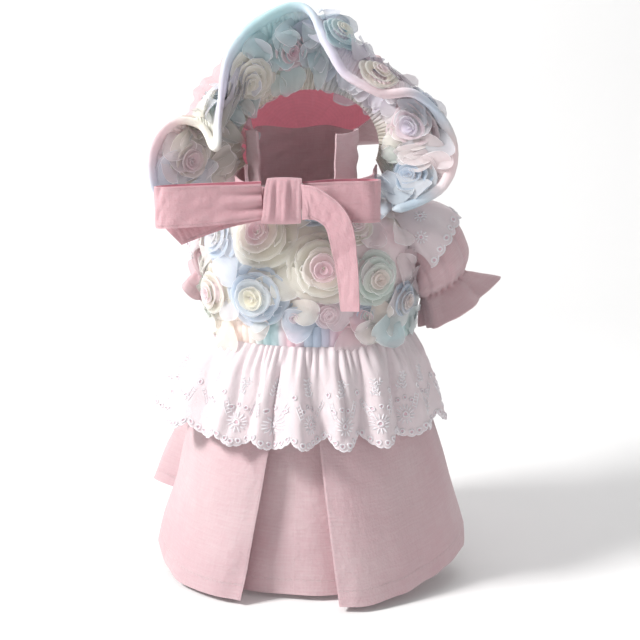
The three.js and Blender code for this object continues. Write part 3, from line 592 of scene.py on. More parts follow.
# The lining's glow stands in for sunlight through the linen, and is not a property of the cloth
LINING_GLOW = tint(236, 180, 192)
LINING_GLOW_STRENGTH = 0.12
BOW_PINK = tint(209, 174, 179)
LACE_WHITE = tint(248, 244, 248)


# Materials

class Nodes:
    """Short calls for making one material's nodes."""

    def __init__(self, name, roughness, **sockets):
        self.material = bpy.data.materials.new(name)
        self.material.use_nodes = True
        self.tree = self.material.node_tree
        self.shader = self.tree.nodes["Principled BSDF"]
        self.shader.inputs["Roughness"].default_value = roughness
        for key, value in sockets.items():
            self.shader.inputs[key.replace("_", " ")].default_value = value

    def add(self, kind, settings=None, **inputs):
        node = self.tree.nodes.new(kind)
        for key, value in (settings or {}).items():
            setattr(node, key, value)
        for key, value in inputs.items():
            self.feed(node.inputs[key.replace("_", " ")], value)
        return node

    def feed(self, socket, value):
        if isinstance(value, bpy.types.NodeSocket):
            self.tree.links.new(value, socket)
        else:
            socket.default_value = value

    def maths(self, operation, *values):
        node = self.tree.nodes.new("ShaderNodeMath")
        node.operation = operation
        for socket, value in zip(node.inputs, values):
            self.feed(socket, value)
        return node.outputs[0]

    def blend(self, share, a, b):
        node = self.tree.nodes.new("ShaderNodeMix")
        node.data_type = "RGBA"
        self.feed(node.inputs[0], share)
        for socket, value in ((node.inputs[6], a), (node.inputs[7], b)):
            self.feed(socket, value if isinstance(value, bpy.types.NodeSocket) else (*value, 1))
        return node.outputs[2]

    def cloth_map(self, scale_u=1.0, scale_v=1.0):
        uv = self.add("ShaderNodeUVMap", {"uv_map": "cloth"})
        mapping = self.add("ShaderNodeMapping", Vector=uv.outputs[0])
        mapping.inputs["Scale"].default_value = (scale_u, scale_v, 1)
        return mapping.outputs[0]

    def noise(self, vector, scale, detail=2.0, rough=0.5):
        node = self.add("ShaderNodeTexNoise", Vector=vector, Scale=scale, Detail=detail, Roughness=rough)
        return node.outputs["Fac"]

    def threads(self, direction, pitch):
        """Threads that run side by side across direction, pitch metres apart."""
        settings = {"wave_type": "BANDS", "bands_direction": direction, "wave_profile": "SIN"}
        node = self.add("ShaderNodeTexWave", settings, Vector=self.cloth_map(), Scale=0.31416 / pitch)
        self.feed(node.inputs["Distortion"], 0.6)
        self.feed(node.inputs["Detail Scale"], 0.3)
        return node.outputs["Fac"]

    def weave(self, pitch):
        """Threads that cross, pitch metres apart."""
        both = self.maths("ADD", self.threads("X", pitch), self.threads("Y", pitch))
        return self.maths("MULTIPLY", both, 0.5)

    def weighed(self, a, part_a, b, part_b):
        return self.maths("ADD", self.maths("MULTIPLY", a, part_a), self.maths("MULTIPLY", b, part_b))

    def attribute(self, name, output="Fac"):
        return self.add("ShaderNodeAttribute", {"attribute_name": name}).outputs[output]

    def bumps(self, *layers):
        """Height fields as (height, metres deep), one on the other."""
        normal = None
        for height, deep in layers:
            node = self.add("ShaderNodeBump", Height=height, Distance=deep, Strength=1.0)
            if normal is not None:
                self.feed(node.inputs["Normal"], normal)
            normal = node.outputs[0]
        self.feed(self.shader.inputs["Normal"], normal)


THREAD = 0.00062
STITCH = 0.0032
STITCH_HALF_WIDTH = 0.00055
FINE_THREAD = 0.0005


def woven(name, light, deep, hem_line=0.0):
    """Linen: crossed threads with slubs and an uneven tone, stitched hem_line metres from its edge."""
    n = Nodes(name, 0.88, Sheen_Weight=0.25, Sheen_Roughness=0.5, Subsurface_Weight=0.12,
              Subsurface_Scale=0.004, Subsurface_Radius=(1.0, 0.55, 0.6))
    weave = n.weave(THREAD)
    slub_across = n.noise(n.cloth_map(70, 1100), 1.0, 3)
    slub_down = n.noise(n.cloth_map(900, 90), 1.0, 2)
    slub = n.weighed(slub_across, 0.65, slub_down, 0.35)
    patches = n.noise(n.cloth_map(22, 22), 1.0, 4)
    fine = n.noise(n.cloth_map(330, 330), 1.0, 3)
    share = n.weighed(slub, 0.55, patches, 0.45)
    share = n.maths("MULTIPLY", n.maths("SUBTRACT", share, 0.36), 2.6)
    relief = n.maths("MULTIPLY", n.maths("SUBTRACT", weave, 0.5), 0.5)
    clamp = n.add("ShaderNodeClamp", Value=n.maths("ADD", share, relief))
    colour = n.blend(clamp.outputs[0], deep, light)
    creases = n.noise(n.cloth_map(60, 60), 1.0, 4, 0.62)
    layers = [(creases, 0.0016), (slub, 0.00028), (weave, 0.00014), (fine, 0.00012)]
    if hem_line:
        hem = n.attribute("hem")
        off = n.maths("ABSOLUTE", n.maths("SUBTRACT", hem, hem_line))
        near = n.maths("LESS_THAN", off, STITCH_HALF_WIDTH)
        uv = n.add("ShaderNodeSeparateXYZ", Vector=n.cloth_map()).outputs[0]
        gap = n.maths("GREATER_THAN", n.maths("FRACT", n.maths("DIVIDE", uv, STITCH)), 0.3)
        stitch = n.maths("MULTIPLY", near, gap)
        within = n.maths("LESS_THAN", hem, hem_line)
        colour = n.blend(n.maths("MULTIPLY", stitch, 0.4), colour, light)
        layers += [(stitch, 0.0004), (within, 0.0004)]
    n.feed(n.shader.inputs["Base Color"], colour)
    n.bumps(*layers)
    return n.material


def dyed(name, alpha=1.0, edge_glow=0.6, gather=0.0):
    """Sheer cloth dyed in pastels: the dye attribute, uneven, paler along the sealed edge of each petal."""
    n = Nodes(name, 0.62, Sheen_Weight=0.35, Sheen_Roughness=0.4, Subsurface_Weight=0.35,
              Subsurface_Scale=0.006, Subsurface_Radius=(1.0, 0.9, 0.9))
    dye = n.attribute("dye", "Color")
    cloud = n.noise(n.cloth_map(45, 45), 1.0, 3)
    pale = n.blend(n.maths("MULTIPLY", cloud, 0.35), dye, TONES["white"])
    mesh = n.weave(FINE_THREAD)
    edge = n.attribute("edge")
    shade = n.maths("MULTIPLY", n.maths("SUBTRACT", 1.0, edge), n.maths("MULTIPLY", mesh, 0.12))
    colour = n.blend(shade, pale, TONES["lilac"] * 0.7)
    colour = n.blend(n.maths("MULTIPLY", edge, edge_glow), colour, TONES["white"])
    n.feed(n.shader.inputs["Base Color"], colour)
    creases = n.noise(n.cloth_map(150, 150), 1.0, 4, 0.6)
    layers = [(creases, 0.0006), (mesh, 0.00006)]
    if gather:
        layers.append((n.threads("X", gather), 0.0007))
    n.bumps(*layers)
    if alpha < 1:
        sheer = n.maths("ADD", n.maths("MULTIPLY", edge, 1 - alpha), alpha)
        n.feed(n.shader.inputs["Alpha"], sheer)
    return n.material


def lace_cloth(name):
    """White cotton lawn under the embroidery: a fine weave with soft creases."""
    n = Nodes(name, 0.8, Sheen_Weight=0.2, Subsurface_Weight=0.25, Subsurface_Scale=0.005,
              Subsurface_Radius=(1.0, 0.8, 0.85))
    weave = n.weave(FINE_THREAD)
    cloud = n.noise(n.cloth_map(40, 40), 1.0, 3)
    share = n.weighed(cloud, 0.6, weave, 0.25)
    n.feed(n.shader.inputs["Base Color"], n.blend(share, tint(240, 228, 231), tint(224, 204, 210)))
    creases = n.noise(n.cloth_map(120, 60), 1.0, 4, 0.6)
    n.bumps((creases, 0.0009), (weave, 0.0001))
    return n.material


def stitched(name, colour, shade):
    """Satin stitch: close threads with a soft sheen."""
    n = Nodes(name, 0.55, Sheen_Weight=0.4)
    strand = n.threads("X", FINE_THREAD)
    n.feed(n.shader.inputs["Base Color"], n.blend(n.maths("MULTIPLY", strand, 0.35), colour, shade))
    n.bumps((strand, 0.00015))
    return n.material


linen = woven("linen_pink", LINEN_PINK, LINEN_DEEP, hem_line=0.010)
linen_plain = woven("linen_plain", LINEN_PINK, LINEN_DEEP)
lining = woven("linen_lining", LINING_PINK, LINING_PINK * 0.86)
lining_sockets = lining.node_tree.nodes["Principled BSDF"].inputs
lining_sockets["Emission Color"].default_value = (*LINING_GLOW, 1)
lining_sockets["Emission Strength"].default_value = LINING_GLOW_STRENGTH
bow_linen = woven("linen_bow", BOW_PINK, tint(206, 160, 168), hem_line=0.0016)
# The bow's inside is the same linen as its outside. Its deeper pink is painted shade inside the loops and
# behind the knot, together with painted light coming through the linen.
bow_shaded_inside = woven("linen_bow_inside", tint(216, 150, 163), tint(204, 130, 146))
brim_chiffon = dyed("chiffon_brim", gather=0.0028)
body_chiffon = dyed("chiffon_bodice")
petal_chiffon = dyed("chiffon_petal", alpha=0.62, edge_glow=0.95)
lawn = lace_cloth("eyelet_lawn")
satin = stitched("eyelet_thread", LACE_WHITE, tint(232, 222, 230))
hole = stitched("eyelet_hole", tint(222, 190, 200), tint(214, 182, 192))


# Meshes

SHARP_ANGLE = 55


def add_object(name, points, faces, materials, looks=None, uv=None, dye=None, edge=None, hem=None, closing=0,
               sharp=True):
    """One mesh in metres from points in millimetres. looks holds each face's material number. closing is the
    girth of cloth that closes on itself, so that its last faces carry the weave on instead of back to 0."""
    mesh = bpy.data.meshes.new(name)
    corners = faces if isinstance(faces, list) else faces.tolist()
    mesh.from_pydata((np.asarray(points) * MM).tolist(), [], corners)
    for material in materials:
        mesh.materials.append(material)
    if looks is not None:
        mesh.polygons.foreach_set("material_index", np.asarray(looks, np.int32))
    corner = np.zeros(len(mesh.loops), np.int32)
    mesh.loops.foreach_get("vertex_index", corner)
    flat = np.zeros((len(points), 2)) if uv is None else np.asarray(uv)
    places = flat[corner]
    if closing:
        quads = places.reshape(-1, 4, 2)
        wraps = np.ptp(quads[..., 0], axis=1) > closing / 2
        quads[..., 0] += closing * (wraps[:, None] & (quads[..., 0] < closing / 2))
    layer = mesh.uv_layers.new(name="cloth")
    layer.data.foreach_set("uv", (places * MM).ravel().astype(np.float32))
    if dye is not None:
        paint = mesh.attributes.new("dye", "FLOAT_COLOR", "POINT")
        full = np.concatenate([dye, np.ones((len(points), 1))], axis=1)
        paint.data.foreach_set("color", full.ravel().astype(np.float32))
    for key, values in (("edge", edge), ("hem", hem)):
        if values is not None:
            scale = MM if key == "hem" else 1
            mesh.attributes.new(key, "FLOAT", "POINT").data.foreach_set(
                "value", (np.asarray(values) * scale).astype(np.float32))
    mesh.polygons.foreach_set("use_smooth", np.ones(len(mesh.polygons), bool))
    if sharp:
        mesh.set_sharp_from_angle(angle=math.radians(SHARP_ANGLE))
    piece = bpy.data.objects.new(name, mesh)
    bpy.context.scene.collection.objects.link(piece)
    return piece


def grid_normals(points, round_u):
    """Normals of a grid of points [row, column], along u times down v."""
    along = np.gradient(points, axis=1)
    if round_u:
        along = (np.roll(points, -1, axis=1) - np.roll(points, 1, axis=1)) / 2
    return unit(np.cross(along, np.gradient(points, axis=0)))


def shell(points, thickness, round_u, pole=False):
    """A closed wall from a grid: points, faces and which faces are inner. thickness may be a grid."""
    rows, columns = points.shape[:2]
    normals = grid_normals(points, round_u)
    if pole:
        normals[-1] = unit(normals[-2].mean(axis=0))
    half = (np.asarray(thickness) / 2 * np.ones((rows, columns)))[..., None]
    both = np.concatenate([(points + side * normals * half).reshape(-1, 3) for side in (1, -1)])
    count = columns if round_u else columns - 1
    i, j = np.meshgrid(np.arange(count), np.arange(rows - 1))
    i, j = i.ravel(), j.ravel()
    nxt = (i + 1) % columns

    def at(column, row, layer):
        return layer * rows * columns + row * columns + column

    front = np.stack([at(i, j, 0), at(nxt, j, 0), at(nxt, j + 1, 0), at(i, j + 1, 0)], axis=1)
    back = np.stack([at(i, j, 1), at(i, j + 1, 1), at(nxt, j + 1, 1), at(nxt, j, 1)], axis=1)
    k = np.arange(count)
    kn = (k + 1) % columns
    last = rows - 1
    rims = [np.stack([at(kn, 0, 0), at(k, 0, 0), at(k, 0, 1), at(kn, 0, 1)], axis=1)]
    if not pole:
        rims.append(np.stack([at(k, last, 0), at(kn, last, 0), at(kn, last, 1), at(k, last, 1)], axis=1))
    if not round_u:
        m = np.arange(rows - 1)
        end = columns - 1
        rims.append(np.stack([at(0, m, 0), at(0, m + 1, 0), at(0, m + 1, 1), at(0, m, 1)], axis=1))
        rims.append(np.stack([at(end, m + 1, 0), at(end, m, 0), at(end, m, 1), at(end, m + 1, 1)], axis=1))
    faces = np.concatenate([front, back, *rims])
    looks = np.concatenate([np.zeros(len(front)), np.ones(len(back)), np.zeros(len(faces) - 2 * len(front))])
    return both, faces, looks.astype(int)


def arc_lengths(points):
    """Lengths along the middle row and down the middle column of a grid, in millimetres."""
    row = points[points.shape[0] // 2]
    column = points[:, points.shape[1] // 2]
    steps = [np.linalg.norm(np.diff(line, axis=0), axis=-1) for line in (row, column)]
    return [np.concatenate([[0], np.cumsum(s)]) for s in steps]


def hole_rims(faces, layer):
    """Faces that join the two sides of a wall round the holes that were cut in it."""
    directed = {(a, b) for face in faces.tolist() for a, b in zip(face, face[1:] + face[:1])}
    bare = [(a, b) for a, b in directed if (b, a) not in directed and max(a, b) < layer]
    return np.array([[b, a, a + layer, b + layer] for a, b in sorted(bare)]).reshape(-1, 4)


def measure(piece, points, round_u):
    """Notes the length, width and area of the cloth in a grid of points, in metres."""
    closed = np.concatenate([points, points[:, :1]], axis=1) if round_u else points
    row = np.linalg.norm(np.diff(closed, axis=1), axis=-1).sum(axis=1).max()
    column = np.median(np.linalg.norm(np.diff(points, axis=0), axis=-1).sum(axis=0))
    diagonals = np.cross(closed[1:, 1:] - closed[:-1, :-1], closed[1:, :-1] - closed[:-1, 1:])
    area = np.linalg.norm(diagonals, axis=-1).sum() / 2
    piece["flat"] = [float(row) * MM, float(column) * MM, float(area) * MM * MM]


def cloth(name, place, columns, rows, thickness, materials, round_u=False, pole=False, dye=None, hem=None,
          hole_at=None):
    """A piece of cloth along place(u, v). materials are the outside's and, if there is one, the inside's."""
    u = np.arange(columns) / columns if round_u else np.linspace(0, 1, columns)
    u, v = np.meshgrid(u, np.linspace(0, 1, rows))
    points = place(u, v)
    both, faces, looks = shell(points, thickness(u, v) if callable(thickness) else thickness, round_u, pole)
    outward = (grid_normals(points, round_u) * (points - points.mean(axis=(0, 1)))).sum()
    if len(materials) > 1 and outward < 0:
        looks = 1 - looks
    across, down = arc_lengths(points)
    flat = np.stack(np.broadcast_arrays(across[None, :columns], down[:, None]), axis=-1).reshape(-1, 2)
    uv = np.concatenate([flat, flat])
    if hole_at is not None:
        keep = ~hole_at(u, v).ravel()
        keep = np.concatenate([keep, keep])
        kept = keep[faces].all(axis=1)
        faces, looks = faces[kept], looks[kept]
        rims = hole_rims(faces, rows * columns)
        faces, looks = np.concatenate([faces, rims]), np.concatenate([looks, np.zeros(len(rims), int)])

    def twice(grid):
        return np.concatenate([grid.reshape(rows * columns, -1)] * 2)

    colours = twice(dye(u, v)) if dye else None
    borders = twice(hem(u, v)).ravel() if hem else None
    girth = across[-1] * columns / (columns - 1) if round_u else 0
    piece = add_object(name, both, faces, materials, looks * (len(materials) - 1), uv, colours,
                       np.zeros(len(both)) if dye else None, borders, girth)
    measure(piece, points, round_u)
    return piece


class Batch:
    """Many small meshes gathered into one piece."""

    def __init__(self):
        self.parts = {key: [] for key in ("points", "faces", "looks", "uv", "dye", "edge")}
        self.count = 0

    def add(self, points, faces, looks=0, uv=None, dye=None, edge=None):
        n = len(points)
        self.parts["points"].append(points)
        self.parts["faces"].append(np.asarray(faces) + self.count)
        self.parts["looks"].append(np.full(len(faces), looks))
        self.parts["uv"].append(np.zeros((n, 2)) if uv is None else uv)
        self.parts["dye"].append(np.tile(TONES["white"], (n, 1)) if dye is None else dye)
        self.parts["edge"].append(np.zeros(n) if edge is None else edge)
        self.count += n

    def build(self, name, materials):
        p = {key: np.concatenate(values) for key, values in self.parts.items()}
        return add_object(name, p["points"], p["faces"], materials, p["looks"], p["uv"], p["dye"], p["edge"])


# Laying small things on a surface

def draped(place, u0, v0, face, turn=0.0):
    """A function that lays (x, y, height) in millimetres on place(u, v) round one spot. y points against v,
    x to the right as seen on that face, and turn rotates both."""
    step = 0.005

    def metric(u, v):
        along = (place(u + step, v) - place(u - step, v)) / (2 * step)
        down = (place(u, v + step) - place(u, v - step)) / (2 * step)
        return along, down, unit(np.cross(along, down)) * face

    along, down, _ = metric(np.array(float(u0)), np.array(float(v0)))
    right = unit(along)
    lean = down @ right
    deep = np.linalg.norm(down - right * lean)
    c, s = math.cos(math.radians(turn)), math.sin(math.radians(turn))

    def lay(x, y, height):
        x, y = (c * x - s * y) * face, s * x + c * y
        dv = -y / deep
        du = (x - dv * lean) / np.linalg.norm(along)
        u, v = u0 + du, v0 + dv
        return place(u, v) + metric(u, v)[2] * np.asarray(height)[..., None]

    return lay


def lifted(lay, rise):
    """lay with its heights counted from rise above the surface."""
    return lambda x, y, height: lay(x, y, np.asarray(height) + rise)


def past_ends(place, round_u=False):
    """place, carried on straight beyond its borders."""
    def further(u, v):
        u, v = grids(u, v)
        cu = u if round_u else np.clip(u, 0.004, 0.996)
        cv = np.clip(v, 0.004, 0.996)
        point = place(cu, cv)
        step = 0.003
        slope_u = (place(cu + step, cv) - place(cu - step, cv)) / (2 * step)
        slope_v = (place(cu, cv + step) - place(cu, cv - step)) / (2 * step)
        return point + slope_u * (u - cu)[..., None] + slope_v * (v - cv)[..., None]
    return further


# Petals and roses

PETAL_ACROSS = np.array([-1, -0.95, -0.78, -0.52, -0.26, 0, 0.26, 0.52, 0.78, 0.95, 1])
PETAL_UP = np.array([0, 0.16, 0.34, 0.52, 0.7, 0.85, 0.95, 1])
PETAL_GRID = np.meshgrid(PETAL_ACROSS, PETAL_UP)


def grid_faces(rows, columns):
    i, j = np.meshgrid(np.arange(columns - 1), np.arange(rows - 1))
    i, j = i.ravel(), j.ravel()
    first = j * columns + i
    return np.stack([first, first + 1, first + 1 + columns, first + columns], axis=1)


PETAL_FACES = grid_faces(len(PETAL_UP), len(PETAL_ACROSS))


def add_petal(batch, grid, colour):
    """A sheer petal from its grid of points [up, across], with its sealed edge marked."""
    s, t = PETAL_GRID
    edge = np.maximum(np.abs(s) * (t > 0.2) >= 0.99, t >= 0.99).astype(float)
    fade = 0.3 * t.ravel()[:, None] ** 2
    dye = mix(np.tile(colour, (s.size, 1)), TONES["white"], fade)
    shift = np.random.default_rng(int(batch.count)).uniform(0, 90, 2)
    uv = np.stack([s, t], axis=-1).reshape(-1, 2) * 9 + shift
    batch.add(grid.reshape(-1, 3), PETAL_FACES, 0, uv, dye, edge.ravel())


ROSE_RINGS = table("inner reach top drop count arc", [
    (0.02, 0.14, 1.00, 0.22, 1, 320),
    (0.07, 0.27, 1.02, 0.24, 2, 225),
    (0.17, 0.42, 0.96, 0.26, 2, 220),
    (0.30, 0.62, 0.84, 0.32, 3, 165),
    (0.46, 0.86, 0.62, 0.36, 3, 168),
    (0.62, 1.14, 0.30, 0.20, 5, 104),
])


def add_rose(batch, lay, radius, height, tones, seed):
    """A rose of rolled chiffon: petals wrapped round a heart, in ever wider and lower rings."""
    draw = np.random.default_rng(seed)
    s, t = PETAL_GRID
    rings = len(ROSE_RINGS["reach"])
    start = draw.uniform(0, 360)
    for ring in range(rings):
        inner, reach, top, drop, count, arc = (ROSE_RINGS[key][ring] for key in ROSE_RINGS)
        start += 360 / count / 2 + draw.uniform(-14, 14)
        colour = mix(tones[0], tones[1], smooth(ring / (rings - 1), 0.3, 0.75))
        for k in range(int(count)):
            middle = start + 360 / count * k + draw.uniform(-8, 8)
            spread = arc / 2 * draw.uniform(0.92, 1.1)
            size = draw.uniform(0.95, 1.06)
            rounding = 1 - 0.2 * np.abs(s) ** 3.5
            wave = 0.025 * np.sin(3 * s + draw.uniform(0, 6)) * t
            angle = middle + spread * s * (0.82 + 0.18 * t)
            away = inner + (reach * size * rounding * (1 + 0.07 * s) - inner) * t ** 0.85 + wave
            up = top * (1 - 0.13 * np.abs(s) ** 3) - drop * (1 - t) ** 1.4 + 0.03 * np.sin(4 * s + ring) * t
            up = up - 0.07 * smooth(t, 0.82, 1)
            high = np.maximum(height * up, 0.15) + 0.3
            grid = lay(radius * away * sin(angle), radius * away * cos(angle), high)
            add_petal(batch, grid, colour * (1 - 0.06 * draw.random()))


def add_loose_petal(batch, lay, length, width, lift, colour, seed):
    """One round petal from its gathered base at the origin of lay, up y, cupped, with a rippled edge."""
    draw = np.random.default_rng(seed)
    s, t = PETAL_GRID
    half = width / 2 * (0.2 + 0.8 * np.sin(math.pi / 2 * np.clip(t * 1.35, 0, 1)) ** 0.75)
    half = half * np.sqrt(np.clip(1 - (np.maximum(t - 0.55, 0) / 0.62) ** 2, 0.1, 1))
    y = length * (t - 0.1 * s ** 2 * t ** 2)
    phase, deep = draw.uniform(0, TAU), draw.uniform(0.5, 1)
    ruffle = 0.06 * width * deep * np.sin(4.2 * s + phase) * t ** 1.5
    cup = 0.16 * width * draw.uniform(0.4, 1.2) * s ** 2 * np.sin(math.pi * np.clip(t, 0, 0.8))
    curl = -0.1 * length * draw.uniform(0, 1.2) * smooth(t, 0.6, 1) ** 2
    high = 0.5 + lift * np.sin(math.pi / 2 * t) ** 0.8 + cup + ruffle + curl
    add_petal(batch, lay(s * half, y, np.maximum(high, 0.4)), colour)


# Dyes: patches of colour on the chiffon, each with its place along and across, its size and its tone

def dye_from(patches, base, girth=1e9):
    """Colours by place: soft patches over a base tone. u repeats after girth."""
    def paint(u, v):
        total = np.tile(TONES[base], (*np.broadcast(u, v).shape, 1)) * 0.12
        weight = np.full(np.broadcast(u, v).shape, 0.12)
        for along, across, wide, tone in patches:
            off = (u - along + girth / 2) % girth - girth / 2
            far = (off / wide) ** 2 + ((v - across) / (wide * 5)) ** 2
            near = np.exp(-far)
            total = total + near[..., None] * TONES[tone]
            weight = weight + near
        return total / weight[..., None]
    return paint


BRIM_DYE = [
    (0.03, 0.8, 0.05, "sky"), (0.07, 0.3, 0.05, "cream"), (0.12, 0.8, 0.05, "blush"),
    (0.17, 0.5, 0.04, "cream"), (0.24, 0.85, 0.04, "cream"), (0.29, 0.5, 0.05, "teal"),
    (0.35, 0.8, 0.05, "lilac"), (0.38, 0.3, 0.05, "cream"), (0.43, 0.85, 0.06, "teal"),
    (0.48, 0.5, 0.04, "teal"), (0.53, 0.7, 0.04, "sky"), (0.58, 0.9, 0.05, "lilac"),
    (0.6, 0.4, 0.05, "sky"), (0.67, 0.8, 0.05, "blush"), (0.72, 0.4, 0.05, "lilac"),
    (0.76, 0.85, 0.04, "sky"), (0.81, 0.5, 0.05, "cream"), (0.86, 0.7, 0.05, "blush"),
    (0.91, 0.4, 0.05, "mint"), (0.965, 0.6, 0.05, "blue"),
]
BODY_DYE = [
    (0.945, 0.2, 0.03, "cream"), (0.9, 0.35, 0.025, "sky"), (0.895, 0.65, 0.025, "sky"),
    (0.86, 0.4, 0.03, "white"), (0.85, 0.7, 0.03, "blush"), (0.915, 0.96, 0.022, "peach"),
    (0.955, 0.97, 0.02, "teal"), (0.0, 0.35, 0.04, "cream"), (0.985, 0.65, 0.025, "cream"),
    (0.02, 0.74, 0.022, "blush"), (0.99, 0.96, 0.015, "pink"), (0.03, 0.97, 0.022, "blue"),
    (0.065, 0.88, 0.03, "pink"), (0.07, 0.2, 0.03, "mint"), (0.1, 0.35, 0.03, "blush"),
    (0.12, 0.6, 0.03, "mint"), (0.13, 0.85, 0.025, "peach"), (0.165, 0.95, 0.03, "teal"),
    (0.16, 0.3, 0.03, "blush"), (0.2, 0.55, 0.04, "blush"), (0.27, 0.7, 0.05, "teal"),
    (0.33, 0.3, 0.05, "cream"), (0.38, 0.75, 0.05, "pink"), (0.44, 0.4, 0.05, "mint"),
    (0.5, 0.75, 0.05, "cream"), (0.56, 0.35, 0.05, "sky"), (0.62, 0.7, 0.05, "blush"),
    (0.68, 0.4, 0.05, "lilac"), (0.74, 0.75, 0.05, "mint"), (0.8, 0.4, 0.04, "cream"),
]
brim_dye = dye_from(BRIM_DYE, "cream")
body_dye = dye_from(BODY_DYE, "cream", 1.0)


# Body cloth

def bodice_visible(u, v):
    point = bodice_place(u, v)
    ruffles = 0.5 * np.sin(TAU * 60 * u) * smooth(v, 0.75, 1)
    return point + unit(point * [1, 1, 0]) * ruffles[..., None]


def armholes(u, v):
    """True inside an armhole, which the sleeves cover."""
    inside = np.zeros(u.shape, bool)
    for side in (1, -1):
        off = (360 * u - side * ARMHOLE_ANGLE + 180) % 360 - 180
        across = np.radians(off) * CHEST_DEPTH / 2
        down = v * BODICE_LENGTH - ARMHOLE_DROP
        inside |= (across / (ARMHOLE_WIDTH / 2)) ** 2 + (down / (ARMHOLE_HEIGHT / 2)) ** 2 < 1
    return inside


def skirt_visible(u, v):
    point = skirt_place(u, v)
    away = unit(point * [1, 1, 0])
    folds = 1.3 * ripple(5, u, v * 0.6, 7) * smooth(v, 0.1, 0.7)
    return point + away * folds[..., None]


GATHERS = 74
SCALLOP_DEPTH = 4.0
SCALLETS = 6
SCALLET_DEPTH = 1.0


def hem_lengths(place, v, count=2400):
    """u and the length round a hem at v, to place things at real distances along it."""
    u = np.linspace(0, 1, count + 1)
    line = place(u, np.full(u.shape, float(v)))
    return u, np.concatenate([[0], np.cumsum(np.linalg.norm(np.diff(line, axis=0), axis=1))])


HEM_U, HEM_AT = hem_lengths(peplum_place, 1)
SCALLOPS = round(HEM_AT[-1] / 31)
SCALLOP = HEM_AT[-1] / SCALLOPS


def hem_drop(lengths):
    """How far the scalloped edge lies below the hem's mean line: wide scallops edged with small ones."""
    wide = np.abs(np.sin(math.pi * lengths / SCALLOP)) ** 0.8
    small = np.abs(np.sin(math.pi * SCALLETS * lengths / SCALLOP)) ** 0.8
    return SCALLOP_DEPTH * (2 * wide - 1) + SCALLET_DEPTH * (small - 0.5)


FOLD_RISE = 3.2
VALLEYS = table("at wide", [
    (0.018, 0.006), (0.052, 0.005), (0.075, 0.007), (0.118, 0.006), (0.15, 0.008), (0.19, 0.006),
    (0.235, 0.008), (0.28, 0.006), (0.315, 0.008), (0.36, 0.006), (0.4, 0.008), (0.445, 0.006),
    (0.49, 0.008), (0.53, 0.006), (0.575, 0.008), (0.61, 0.006), (0.66, 0.008), (0.7, 0.006),
    (0.745, 0.008), (0.79, 0.006), (0.825, 0.008), (0.862, 0.006), (0.89, 0.005), (0.92, 0.007),
    (0.945, 0.005), (0.98, 0.006),
])


def peplum_visible(u, v):
    u, v = grids(u, v)
    drop = hem_drop(np.interp(u % 1, HEM_U, HEM_AT)) / PEPLUM_LENGTH
    v = v * (1 + drop * smooth(v, 0.4, 1))
    point = peplum_place(u, v)
    away = unit(point * [1, 1, 0])
    tight = 1 - smooth(v, 0.05, 0.45)
    pinch = 1.0 * np.sin(TAU * GATHERS * u + 1.2 * np.sin(TAU * 13 * u)) * tight
    soft = 0.5 * ripple(11, u, v, 6) * smooth(v, 0.2, 0.8)
    fold = np.full(u.shape, FOLD_RISE)
    for at, wide in zip(VALLEYS["at"], VALLEYS["wide"]):
        far = (u - at - 0.004 * np.sin(5 * v + 40 * at) + 0.5) % 1 - 0.5
        fold = fold - (FOLD_RISE + 0.8) * np.exp(-(far / wide) ** 2)
    fold = fold * smooth(v, 0.02, 0.3) * (1 - 0.45 * smooth(v, 0.7, 1))
    return point + away * (pinch + soft + fold)[..., None]


def collar_visible(u, v):
    point = collar_place(u, v)
    away = unit(point * [1, 1, 0])
    return point + away * (0.9 * ripple(3, u, v, 5) * (0.3 + v))[..., None]


def sleeve_visible(sleeve):
    side = sleeve["side"]

    def place(u, v):
        turn = -TAU * u * side
        elastic = np.exp(-((v - 0.715) / 0.05) ** 2)
        pinch = 1.0 * np.sin(TAU * 21 * u) * elastic
        pinch = pinch + 0.8 * np.sin(TAU * 17 * u) * np.exp(-((v - 0.12) / 0.1) ** 2)
        soft = smooth(v, 0.15, 0.4) * (1 - 0.6 * smooth(v, 0.8, 1))
        pinch = pinch + 1.1 * ripple(21 + side, u, v, 6) * soft
        crease = np.abs(np.sin(TAU * 4.5 * u + 1.5 * np.sin(3 * v))) ** 6
        pinch = pinch - 2.2 * crease * np.sin(math.pi * np.clip(v / 0.71, 0, 1))
        pinch = pinch - 1.4 * elastic + 0.9 * np.sin(TAU * 11 * u + 1) * smooth(v, 0.8, 1)
        pinch = pinch + 3.6 * np.sin(TAU * 4 * u + 0.6) * smooth(v, 0.76, 1)
        return sleeve_surface(sleeve, turn, v, pinch)
    return place


def cap_place(sleeve):
    def place(u, v):
        u, v = grids(u, v)
        flute = CAP_FLUTE * v * (1 + np.cos(TAU * CAP_FLUTES * u))
        lift = (LINEN + EYELET) / 2 + CAP_CLEARANCE + flute
        turn = np.radians(mix(-CAP_SPREAD, CAP_SPREAD, u)) * -sleeve["side"]
        return sleeve_surface(sleeve, turn, CAP_REACH * v, lift)
    return place


CAP_SCALLOPS = 13


def cap_visible(sleeve):
    place = cap_place(sleeve)

    def scalloped(u, v):
        dip = np.abs(np.sin(math.pi * CAP_SCALLOPS * u)) ** 0.7
        return place(u, v * (1 + 0.09 * dip * smooth(v, 0.7, 1)))
    return scalloped


def hem_by(length):
    """Distance to the lower edge of a piece of about that length."""
    return lambda u, v: (1 - v) * length


def ribbon_borders(width):
    """Distance to the nearer long edge of a ribbon."""
    return lambda u, v: np.minimum(v, 1 - v) * width


def plain_band(u, v):
    return body_dye(u, np.full_like(v, 0.97))


pieces = {}


def keep(piece, slot, *nodes):
    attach(piece, "root")
    if nodes:
        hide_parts(*nodes)
    pieces[piece.name] = piece
    return piece


